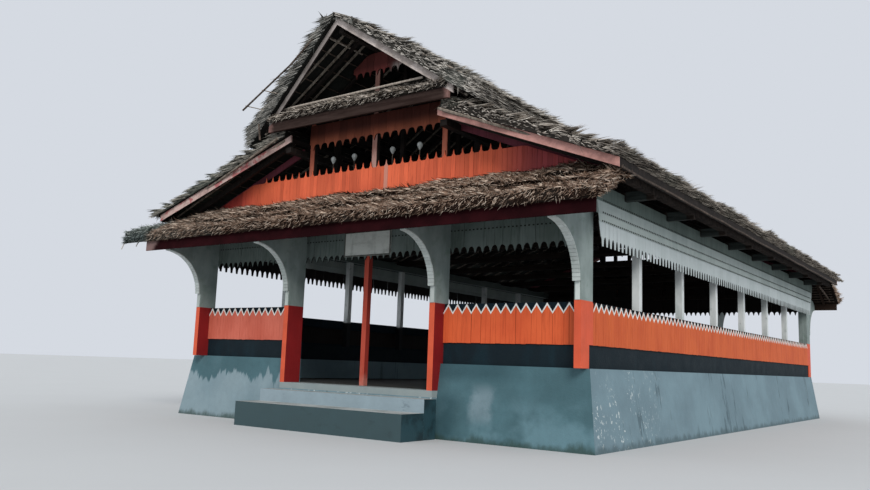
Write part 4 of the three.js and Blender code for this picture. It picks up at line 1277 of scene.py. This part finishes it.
# The left slopes are darker and greener: moss, and painted shade on the side away from the light.
mainLeftThatch = thatchFinish("mainLeftThatch", "292a27", "827f77", "bdb8ad", "626a62", 0.5)
upperThatch = thatchFinish("upperThatch", "33312e", "aea8a0", "e6e0d6", "858a83", 0.35)
upperLeftThatch = thatchFinish("upperLeftThatch", "292a28", "84837e", "bfbbb3", "646b65", 0.4)
pentThatch = thatchFinish("pentThatch", "241914", "8f7665", "e2d0be", "6c736d", 0.15, 0.1, True)
smallPentThatch = thatchFinish("smallPentThatch", "1d1815", "8f857b", "efe6da", "5a6158", 0.1, 0.1)

# The left slopes reach lower, and their upper part is fuller.
rightSlopes = ("Right", 1, mainThatch, upperThatch, {}, {})
leftSlopes = ("Left", -1, mainLeftThatch, upperLeftThatch, {"foot": 4.93}, {"foot": 2.62, "crown": 0.2})
for side, sign, mainSkin, upperSkin, mainOwn, upperOwn in (rightSlopes, leftSlopes):
    values = {**mainValues, "flow": (sign, 0.0, -0.42), **mainOwn}
    piece = thatch("mainThatch" + side, values, mainPlace(sign), mainSkin, sign)
    deliver(piece, "thatch", "thatch_" + side.lower())
    values = {**upperValues, "flow": (sign, 0.0, -0.6), **upperOwn}
    piece = thatch("upperThatch" + side, values, upperPlace(sign), upperSkin, sign)
    deliver(piece, "thatch", "upper_thatch")
for end, sign in (("Front", -1), ("Back", 1)):
    flow = (0.0, sign, -0.5)
    values = {**pentValues, "flow": flow, "limit": pentLimit}
    place = pentPlace(sign, roofEnds["pentLeft"], roofEnds["pentRight"])
    piece = thatch("pentThatch" + end, values, place, pentThatch, sign)
    deliver(piece, "thatch", "pent_thatch_" + end.lower())
    values = {**smallPentValues, "flow": flow}
    place = pentPlace(sign, -roofEnds["smallPent"], roofEnds["smallPent"])
    piece = thatch("upperPentThatch" + end, values, place, smallPentThatch, sign)
    deliver(piece, "thatch", "upper_pent_" + end.lower())


ridgeValues = {"rings": 64, "end": 8.15, "across": (-0.36, -0.24, -0.12, 0.0, 0.12, 0.24, 0.36), "half": 0.4,
               "thick": 0.006, "deep": 0.09, "rough": 0.01, "crown": 0.2, "seed": 79, "tone": 0.35,
               "density": 520.0, "lift": 0.06, "bristle": (0.1, 0.1, 0.0), "ruffle": 0.8,
               "spread": (0.4, 0.08, 0.4), "small": 0.5, "large": 0.9}


def ridgeRoll(v):
    # A saddle of short leaves bent over the ridge, lying on both slopes. The left side is fuller.
    wood = Joinery(v["seed"])
    rings = []
    for k in range(v["rings"] + 1):
        y = v["end"] * (2 * k / v["rings"] - 1)
        lift = wood.dice.uniform(0.0, v["rough"])
        over = []
        for x in v["across"]:
            crown = v["crown"] * hump(abs(x)) * (x < 0)
            base = upperTop(abs(x)) - upperValues["sink"] + crown
            rise = v["thick"] * (1 - (x / v["half"]) ** 2)
            over.append((x + wood.about(v["rough"]), y, base + lift + rise))
        rings.append(over + [(x, y, z - v["deep"]) for x, y, z in over[::-1]])
    count = len(v["across"])
    wood.loft(rings, 0, v["tone"], [[1.0] * count + [0.0] * count for _ in rings])
    core = wood.mesh("ridgeRoll", [upperLeftThatch])
    made = named(coverWith(core, broadLeaf, upperLeftThatch, (0.0, 0.0, -1.0), v["seed"], v), "ridgeRoll")
    clampPiece(made)
    return made


deliver(ridgeRoll(ridgeValues), "thatch")


def tufts(name, spots, finish, v):
    # Loose tufts: a tapering core from start to end, with the leaves lying along it.
    parts = []
    for k, (start, end, across, thick, taper) in enumerate(spots):
        start, end = Vector(start), Vector(end)
        along = (end - start).normalized()
        side = Vector((0, 0, 1)).cross(along).normalized()
        up = along.cross(side)
        wood = Joinery(v["seed"] + k)
        rings = []
        for j in range(v["rings"]):
            t = j / (v["rings"] - 1)
            size = 1.0 - (1.0 - taper) * t ** 1.5
            middle = start.lerp(end, t) + up * wood.about(v["rough"])
            rings.append([middle + side * (across * size * a) + up * (thick * size * b)
                          for a, b in circle(v["sides"])])
        # A depth of 0.6 gives the tufts some painted shade.
        wood.loft(rings, 0, 0.0, depth=[[0.6] * v["sides"] for _ in rings])
        parts.append(coverWith(wood.mesh(name, [finish]), straw, finish, along, v["seed"] + k, v))
    made = gather(name, parts)
    clampPiece(made)
    return made


# Each tuft: its start, its end, half its width, half its thickness, and what is left of them at the end.
tuftValues = {
    "rings": 7, "sides": 10, "rough": 0.012, "seed": 95, "density": 1300.0, "lift": 0.12,
    "bristle": (0.05, 0.05, 0.0), "ruffle": 1.4, "spread": (0.9, 0.3, 0.5), "small": 0.6, "large": 1.2,
    "left": (((-4.42, 8.22, 3.41), (-5.2, 8.27, 3.43), 0.12, 0.1, 0.35),
             ((-4.38, 7.96, 3.52), (-5.08, 8.02, 3.55), 0.12, 0.07, 0.3)),
    "right": (((4.5, 8.2, 3.37), (4.86, 8.24, 3.36), 0.1, 0.08, 0.5),
              ((4.5, 7.98, 3.5), (4.84, 8.02, 3.47), 0.12, 0.07, 0.5)),
    "eave": (((4.78, 7.5, 3.93), (4.9, 8.34, 3.9), 0.06, 0.05, 0.25),)}
greyThatch = thatchFinish("greyThatch", "272c2a", "727b77", "b6bcb7", "5a6158", 0.2)


def mirrored(spots, acrossSign, alongSign):
    signs = Vector((acrossSign, alongSign, 1))
    return [(Vector(start) * signs, Vector(end) * signs, *rest) for start, end, *rest in spots]


for end, sign in (("Front", -1), ("Back", 1)):
    for side, finish in (("left", greyThatch if sign < 0 else pentThatch), ("right", pentThatch)):
        spots = mirrored(tuftValues[side], 1, sign)
        deliver(tufts("pentTufts" + end + side.title(), spots, finish, tuftValues), "thatch")
spots = mirrored(tuftValues["eave"], -1, 1) + mirrored(tuftValues["eave"], 1, 1)
deliver(tufts("eaveTuftsBack", spots, mainThatch, tuftValues), "thatch")
for leaf in (broadLeaf, straw):
    bpy.data.objects.remove(leaf)
print("thatch made")

# Finishes of the timbers that stay as they are in the frame.


def bargePaint(name, main, worn, redTop=None, leftShade=1.0):
    # Faded paint with bare grey patches, and painted shade on the faces looking down. Some boards keep red
    # streaks at their lower left end, or carry painted shade on the left.
    f = Finish(name, 0.8)
    wear = f.noise(3.2, detail=6, roughness=0.65, shift=6)
    color = f.fade(wear, 0.42, 0.62, main, worn)
    if redTop is not None:
        streaks = f.times(f.span(f.noise(5, (1, 1, 1), 4, 0.6, 9), 0.47, 0.56), f.span(f.x, -1.6, -2.24))
        color = f.blend(f.times(streaks, 0.7), color, redTop)
    color = f.vary(color, f.noise(30, (1, 1, 1), 3), 0.3, 0.85)
    if leftShade < 1.0:
        # Painted shade on the left.
        color = f.vary(color, f.span(f.x, -0.3, 0.1), 1.0 - leftShade, leftShade)
    # Painted shade on the faces looking down.
    color = f.fade(f.faceZ, -0.4, -0.8, color, "2c2422")
    f.bump(f.noise(40, detail=4), 0.002)
    return f.done(color)


endTimbers = {"fasciaLeft": (-3.75, -4.0), "fasciaRight": (4.1, 4.4), "backHalf": (0.0, 1.0),
              "fasciaShadeFrom": 8.243, "beamEnds": (2.02, 2.2), "tieEnds": (4.3, 4.62), "entryFoot": (1.25, 0.95)}


def fasciaPaint(v):
    # Dark maroon, made darker as painted shade under the thatch, bleached to grey-pink at its left end and,
    # at the back, to grey at its right end.
    f = Finish("fasciaMaroon", 0.9, 0.05)
    edge = f.plus(f.x, f.times(f.noise(3, detail=5), 0.8))
    # Dark maroon paint, darkened further as painted shade.
    color = f.fade(f.noise(2.5, detail=5), 0.35, 0.7, "1e070a", "2b0c10")
    color = f.fade(edge, *v["fasciaLeft"], color, "7b6562")
    far = f.times(f.span(edge, *v["fasciaRight"]), f.span(f.y, *v["backHalf"]))
    color = f.blend(far, color, "8b8a87")
    # Painted shade on the faces inside the hall.
    color = f.bareInside(color, f.y, v["fasciaShadeFrom"], "2a211c")
    f.bump(f.noise(24, (0.2, 1, 1), 4), 0.002)
    return f.done(color)


def beamFinish(v):
    # Dark brown, faded to pink at both ends.
    f = Finish("upperBeams", 0.9, 0.05)
    lines = f.noise(16, (0.08, 1, 1), 4, 0.65)
    color = f.fade(lines, 0.35, 0.7, "2a1f1c", "3d312d")
    ends = f.plus(f.away(f.x), f.times(f.noise(6, detail=4), 0.3))
    color = f.fade(ends, *v["beamEnds"], color, "8a6a64")
    f.bump(lines, 0.003)
    return f.done(color)


def tieFinish(v):
    # Dark wood with painted shade under the roof, and weathered grey where the ends stick out past the
    # valance.
    f = Finish("tieBeams", 0.9, 0.05)
    lines = f.noise(14, (0.1, 1, 1), 4, 0.65, 3)
    # Dark wood and painted shade under the roof.
    dark = f.fade(lines, 0.35, 0.7, "1d1917", "332c28")
    grey = f.fade(lines, 0.35, 0.7, "262a29", "3d4341")
    color = f.blend(f.within(f.away(f.x), *v["tieEnds"]), dark, grey)
    f.bump(lines, 0.003)
    return f.done(color)


def entrancePaint(v):
    # Red with painted shade on the faces looking along +X, worn pale at the foot.
    f = Finish("entrancePost", 0.65)
    wear = f.noise(6, (1, 1, 0.25), 5, 0.65, 2)
    color = f.fade(wear, 0.4, 0.68, "b34a38", "a5402f")
    # Painted shade on the faces looking along +X.
    color = f.fade(f.faceX, 0.5, 0.8, color, "8f2f25")
    worn = f.span(f.plus(f.z, f.times(f.noise(8), 0.5)), *v["entryFoot"])
    color = f.blend(f.times(worn, 0.5), color, "c98b7c")
    f.bump(wear, 0.002)
    return f.done(color)


dress(["barge_front_right", "barge_back_right"], bargePaint("bargeSalmon", "c9968c", "ab7d75"))
dress(["barge_front_left", "barge_back_left"],
      bargePaint("bargePinkGrey", "c4aaa2", "a08680", redTop="99323a"))
dress(["upper_barge_front", "upper_barge_back"], bargePaint("bargeGrey", "d0c4be", "aca099", leftShade=0.45))
dress(["upper_beam_front", "upper_beam_back"], beamFinish(endTimbers))
dress(["pent_frame_front", "pent_frame_back"], fasciaPaint(endTimbers))
dress(["tie_frame"], tieFinish(endTimbers))
dress(["entrance_post"], entrancePaint(endTimbers))

# Poles, laths, second barge boards and eave strips: the light timbers of the roof.

roofValues = {"seed": 81, "mainUnder": 5.8105, "mainSlope": 0.4026, "upperUnder": 6.7803,
              "upperSlope": 0.6746, "poleShift": 0.03, "upperPoleShift": 0.02, "upperPoleShort": 0.06,
              "lathSpread": (0.9, 1.1), "poleRadius": 0.024, "polePitch": 0.41, "poleEnd": 6.5,
              "poleClear": 0.012, "lathPitch": 0.26, "lath": (0.035, 0.012), "mainFrom": 1.78, "mainTo": 4.74,
              "upperFrom": 0.14, "upperTo": 2.3, "edgePoles": (7.2, 7.48, 7.62),
              "upperEdgePoles": (7.2, 7.5, 7.76), "mainLathEnd": 7.76, "upperLathEnd": 8.06,
              "upperLathFrom": 0.31, "secondBarge": 6.955, "secondDepth": 0.13, "secondDrop": 0.09,
              "secondThick": 0.026, "strip": (4.857, 3.742), "stripFrom": -7.72, "stripTo": 7.7,
              "stripLength": 0.64, "stripStep": 0.643, "stripSize": (0.02, 0.03),
              "stripDrift": (-0.012, 0.006)}


def mainUnder(a, drop):
    return roofValues["mainUnder"] - roofValues["mainSlope"] * a - drop


def upperUnder(a, drop):
    return roofValues["upperUnder"] - roofValues["upperSlope"] * a - drop


# The finish of each timber, in the order of timberFinishes.
poleKind, lathKind, bargeKind, lightKind, knotKind, knobKind = range(6)


def lightTimbers(v):
    # Poles down the slopes under both roofs, and laths along them.
    wood = Joinery(v["seed"])
    dice = wood.dice
    radius = v["poleRadius"]
    drop = radius + v["poleClear"]
    steps = int(2 * v["poleEnd"] / v["polePitch"])
    inner = [-v["poleEnd"] + v["polePitch"] * (k + 0.5) for k in range(steps)]

    def mainEnd(a):
        return v["mainLathEnd"] - roofEnds["mainRake"] * (roofEnds["mainAt"] - a)

    def upperEnd(a):
        return v["upperLathEnd"] - roofEnds["upperRake"] * a

    for sign in (-1, 1):
        for y in inner + [s * e for s in (-1, 1) for e in v["edgePoles"]]:
            y += wood.about(v["poleShift"])
            wood.pole((sign * v["mainFrom"], y, mainUnder(v["mainFrom"], drop)),
                      (sign * v["mainTo"], y + wood.about(v["poleShift"]), mainUnder(v["mainTo"], drop)),
                      radius, poleKind, sides=6)
        for y in inner + [s * e for s in (-1, 1) for e in v["upperEdgePoles"]]:
            room = roofEnds["upperEdge"] - abs(y) - v["upperPoleShort"]
            reach = min(v["upperTo"], room / roofEnds["upperRake"])
            y += wood.about(v["upperPoleShift"])
            wood.pole((sign * v["upperFrom"], y, upperUnder(v["upperFrom"], drop)),
                      (sign * reach, y, upperUnder(reach, drop)), radius, poleKind, sides=6)
        width, thick = v["lath"]
        for a, last, under, reach in ((v["mainFrom"] + 0.1, v["mainTo"], mainUnder, mainEnd),
                                      (v["upperLathFrom"], v["upperTo"], upperUnder, upperEnd)):
            while a < last:
                z = under(a, thick / 2 + 0.001)
                wood.beam((sign * a, -reach(a), z), (sign * a, reach(a), z), width, thick, kind=lathKind)
                a += v["lathPitch"] * dice.uniform(*v["lathSpread"])
        # The second board behind each main barge.
        for end in (-1, 1):
            y = end * v["secondBarge"]
            near, far = v["mainFrom"] - 0.02, v["mainTo"] - 0.1
            top, foot = v["secondDrop"], v["secondDrop"] + v["secondDepth"]
            corners = ((near, top), (far, top), (far, foot), (near, foot))
            loop = [(sign * a, y, mainUnder(a, b)) for a, b in corners]
            wood.prism(loop, (0, end * v["secondThick"], 0), kind=bargeKind)
        # The thin strip nailed along the foot of the eave, a little wavy.
        x, z = v["strip"]
        y, drift = v["stripFrom"], 0.0
        while y < v["stripTo"]:
            nextDrift = dice.uniform(*v["stripDrift"])
            wood.beam((sign * x, y, z + drift), (sign * x, y + v["stripLength"], z + nextDrift),
                      *v["stripSize"], kind=lathKind)
            y, drift = y + v["stripStep"], nextDrift
    return wood


def knot(wood, at, size):
    # A small knot of fibre, tied round a pin.
    x, y, z = at
    wood.pole((x, y, z - size), (x, y, z + size * 0.2), size * 0.45, knotKind, sides=6, taper=1.6)
    wood.pole((x, y, z + size * 0.2), (x, y, z + size), size * 0.72, knotKind, sides=6, taper=0.35)


def flipped(point, end):
    # The same point at the front (-1) or the back (1).
    x, y, z = point
    return (x, end * y, z)


topValues = {"ridgeTop": 6.845, "ridgeFrom": 8.0, "ridgePoles": (-0.13, 0.13), "ridgePoleDrop": 0.05,
             "ridgePoleLength": (2.2, 3.4), "ridgePoleLeast": 0.5, "ridgePoleLap": 0.25, "batten": 0.016,
             "pinPitch": 0.52, "pinSpread": (0.8, 1.2), "pinFrom": 0.1, "pinHalf": 0.16, "pin": 0.013,
             "pinShift": 0.03, "pinKnot": 0.038,
             "poles": (((-2.035, 7.61, 5.59), (1.458, 7.61, 5.625), 0.022, lightKind),
                       ((-2.25, 8.08, 5.535), (-1.055, 8.1, 6.165), 0.017, lathKind),
                       ((-1.07, 8.1, 6.155), (-0.556, 8.1, 6.53), 0.017, lathKind),
                       ((-1.74, 8.08, 4.91), (-1.8, 8.08, 5.21), 0.017, lathKind)),
             "twigs": (0.1, 0.45), "twig": 0.01, "twigEnd": 8.05,
             "depthPoles": ((-0.31, 7.94, 6.54), (-0.31, 7.1, 6.54)), "depthPole": 0.018,
             "vergePoleIn": 0.06, "vergeFrom": 0.25, "vergeTo": 2.35, "vergeKnot": 0.03,
             "vergeKnotFrom": 0.15, "vergeKnotStep": (0.24, 0.34),
             "knobs": (-0.987, -0.483, 0.388, 0.971), "knobFoot": 4.2, "knobTop": 4.74, "knobDepth": 6.975,
             "knobShift": 0.02, "knobNeck": 0.06, "stake": 0.009,
             "knobShape": ((0.012, -0.085), (0.026, -0.06), (0.046, -0.025), (0.05, 0.0), (0.04, 0.028),
                           (0.018, 0.046)),
             "brace": ((4.5, 7.06, 3.655), (4.58, 8.21, 3.33)), "braceSize": (0.03, 0.05), "stick": 0.009,
             "sticks": (((-5.16, 8.3, 3.32), (-5.26, 8.32, 3.12)), ((-4.70, 8.3, 3.30), (-4.80, 8.31, 3.15)))}


def outerTimbers(wood, v):
    # Poles and pins on the ridge, loose poles at the gables, battens on the verges, and the window's knobs.
    dice = wood.dice

    def edgeAt(a, sign, end):
        y = roofEnds["upperEdge"] - roofEnds["upperRake"] * a + v["vergePoleIn"]
        return (sign * a, end * y, upperPlane(a) - 0.006)

    ridge = v["ridgeTop"]
    for x in v["ridgePoles"]:
        y = -v["ridgeFrom"]
        while y < v["ridgeFrom"] - v["ridgePoleLeast"]:
            far = min(y + dice.uniform(*v["ridgePoleLength"]), v["ridgeFrom"])
            lift = ridge - v["ridgePoleDrop"]
            tip = (x * 0.9, far, lift + wood.about(0.01))
            wood.pole((x, y, lift), tip, v["batten"], lightKind, sides=6)
            y = far - v["ridgePoleLap"]
    y = -v["ridgeFrom"] + v["pinFrom"]
    while y < v["ridgeFrom"]:
        tip = (v["pinHalf"], y + wood.about(v["pinShift"]), ridge - 0.02)
        wood.pole((-v["pinHalf"], y, ridge - 0.03), tip, v["pin"], knotKind, sides=6)
        knot(wood, (wood.about(v["pinShift"]), y, ridge - 0.01), v["pinKnot"])
        y += v["pinPitch"] * dice.uniform(*v["pinSpread"])
    for end in (-1, 1):
        for start, tip, radius, kind in v["poles"]:
            wood.pole(flipped(start, end), flipped(tip, end), radius, kind, tone=0.9)
        # Twigs from the second pole to the roof's edge.
        (x0, y0, z0), (x1, y1, z1) = v["poles"][1][:2]
        for t in v["twigs"]:
            x, y, z = x0 + t * (x1 - x0), y0 + t * (y1 - y0), z0 + t * (z1 - z0)
            tip = (x + 0.1, end * (v["twigEnd"] - roofEnds["upperRake"] * abs(x)), z + 0.02)
            wood.pole((x - 0.03, end * (y + 0.02), z), tip, v["twig"], lightKind, sides=6)
        (x, y0, z), (x, y1, z) = v["depthPoles"]
        for sign in (-1, 1):
            wood.pole((sign * x, end * y0, z), (sign * x, end * y1, z), v["depthPole"], lightKind)
        start, tip = (flipped(point, end) for point in v["brace"])
        wood.beam(start, tip, *v["braceSize"], kind=lathKind, tone=1.0)
        # Battens along the top of the upper verges, tied down with small knots.
        for sign in (-1, 1):
            top, foot = (edgeAt(v[a], sign, end) for a in ("vergeFrom", "vergeTo"))
            wood.pole(top, foot, v["batten"], lightKind, sides=6)
            a = v["vergeFrom"] + v["vergeKnotFrom"]
            while a < v["vergeTo"]:
                x, y, z = edgeAt(a, sign, end)
                knot(wood, (x, y, z + 0.01), v["vergeKnot"])
                a += dice.uniform(*v["vergeKnotStep"])
        for start, tip in v["sticks"]:
            wood.pole(flipped(start, end), flipped(tip, end), v["stick"], lightKind, sides=6)
        # Knobs on thin stakes in the gable window.
        for x in v["knobs"]:
            top = v["knobTop"] + wood.about(v["knobShift"])
            y = end * v["knobDepth"]
            wood.pole((x, y, v["knobFoot"]), (x, y, top - v["knobNeck"]), v["stake"], lathKind, sides=6)
            rings = [[(x + r * a, y + r * b, top + h) for a, b in circle(10)] for r, h in v["knobShape"]]
            wood.loft(rings, knobKind, dice.random())
    return wood


# Painted shade on its faces inside the hall.
secondBargeRed = boardPaint("secondBargeRed", "6d3440", "5b2a33", "38191d", inward=("y", 6.958),
                            roughness=0.8)
poleLight = bareTimber("poleLight", "b8aea3", "8f857a", 30)
knotDark = bareTimber("knotDark", "2b2622", "161311")
knobGrey = bareTimber("knobGrey", "a3a7a6", "7f8482")
lathTimber = bareTimber("lathTimber", "5c5047", "352c26")
timbers = outerTimbers(lightTimbers(roofValues), topValues)
timberFinishes = [poleTimber, lathTimber, secondBargeRed, poleLight, knotDark, knobGrey]
deliver(timbers.thing("roofPolesAndLaths", timberFinishes), "old_timber")
print("light timbers made")

# Laths under the pent roofs.

pentLathValues = {"seed": 91, "pitch": 0.115, "spread": (0.85, 1.15), "from": 7.1, "to": 8.2,
                  "under": slope(3.262, 0.504, 8.237), "reach": 4.7, "free": 7.75, "extra": 0.3,
                  "clear": 0.16, "joint": (-0.4, -0.39), "drop": 0.008, "size": (0.045, 0.014)}


def pentLaths(v):
    # Inside the eaves they end under the main roof. Beyond, the left ones run on.
    wood = Joinery(v["seed"])
    left, right = v["joint"]
    for sign in (-1, 1):
        a = v["from"]
        while a < v["to"]:
            z = v["under"](a)
            inside = (roofValues["mainUnder"] - z - v["clear"]) / roofValues["mainSlope"]
            reach = v["reach"] if a > v["free"] else min(v["reach"], inside)
            for x0, x1 in ((-reach - v["extra"] * (a > v["free"]), left), (right, reach)):
                wood.beam((x0, sign * a, z - v["drop"]), (x1, sign * a, z - v["drop"]), *v["size"])
            a += v["pitch"] * wood.dice.uniform(*v["spread"])
    return wood.thing("pentLaths", [lathTimber])


deliver(pentLaths(pentLathValues), "old_timber")

# The bare sign: two boards in a thin frame.

signValues = {"seed": 95, "x": (-0.52, 0.51), "z": (2.89, 3.32), "back": 7.051, "board": 0.02, "frame": 0.022,
              "proud": 0.009}


def signBoard(v):
    f = Finish("signPaint", 0.6)
    color = f.fade(f.noise(3, (1, 1, 2), 5, 0.65, 3), 0.45, 0.72, "c3c7c2", "a9ada8")
    color = f.fade(f.noise(9, (1, 1, 0.3), 4), 0.55, 0.7, color, "5f645d", 0.3)
    paint = f.done(color)
    edge = bareTimber("signFrame", "5d605b", "464943")
    wood = Joinery(v["seed"])
    (x0, x1), (z0, z1) = v["x"], v["z"]
    joint = (z0 + z1) / 2
    for low, high in ((z0 + 0.001, joint - 0.0008), (joint + 0.0008, z1 - 0.001)):
        corners = ((x0, low), (x1, low), (x1, high), (x0, high))
        wood.prism([(x, -v["back"], z) for x, z in corners], (0, -v["board"], 0))
    w, thick = v["frame"], v["proud"] - 0.0005
    y = -v["back"] - v["board"] - v["proud"] / 2
    for z in (z0 + w / 2, z1 - w / 2):
        wood.beam((x0, y, z), (x1, y, z), thick, w, kind=1, chamfer=0.002)
    for x in (x0 + w / 2, x1 - w / 2):
        wood.beam((x, y, z0 + w), (x, y, z1 - w), w, thick, up=(0, 1, 0), kind=1, chamfer=0.002)
    return wood.thing("signBoard", [paint, edge])


deliver(signBoard(signValues), "sign_face", "signboard")
print("sign made")
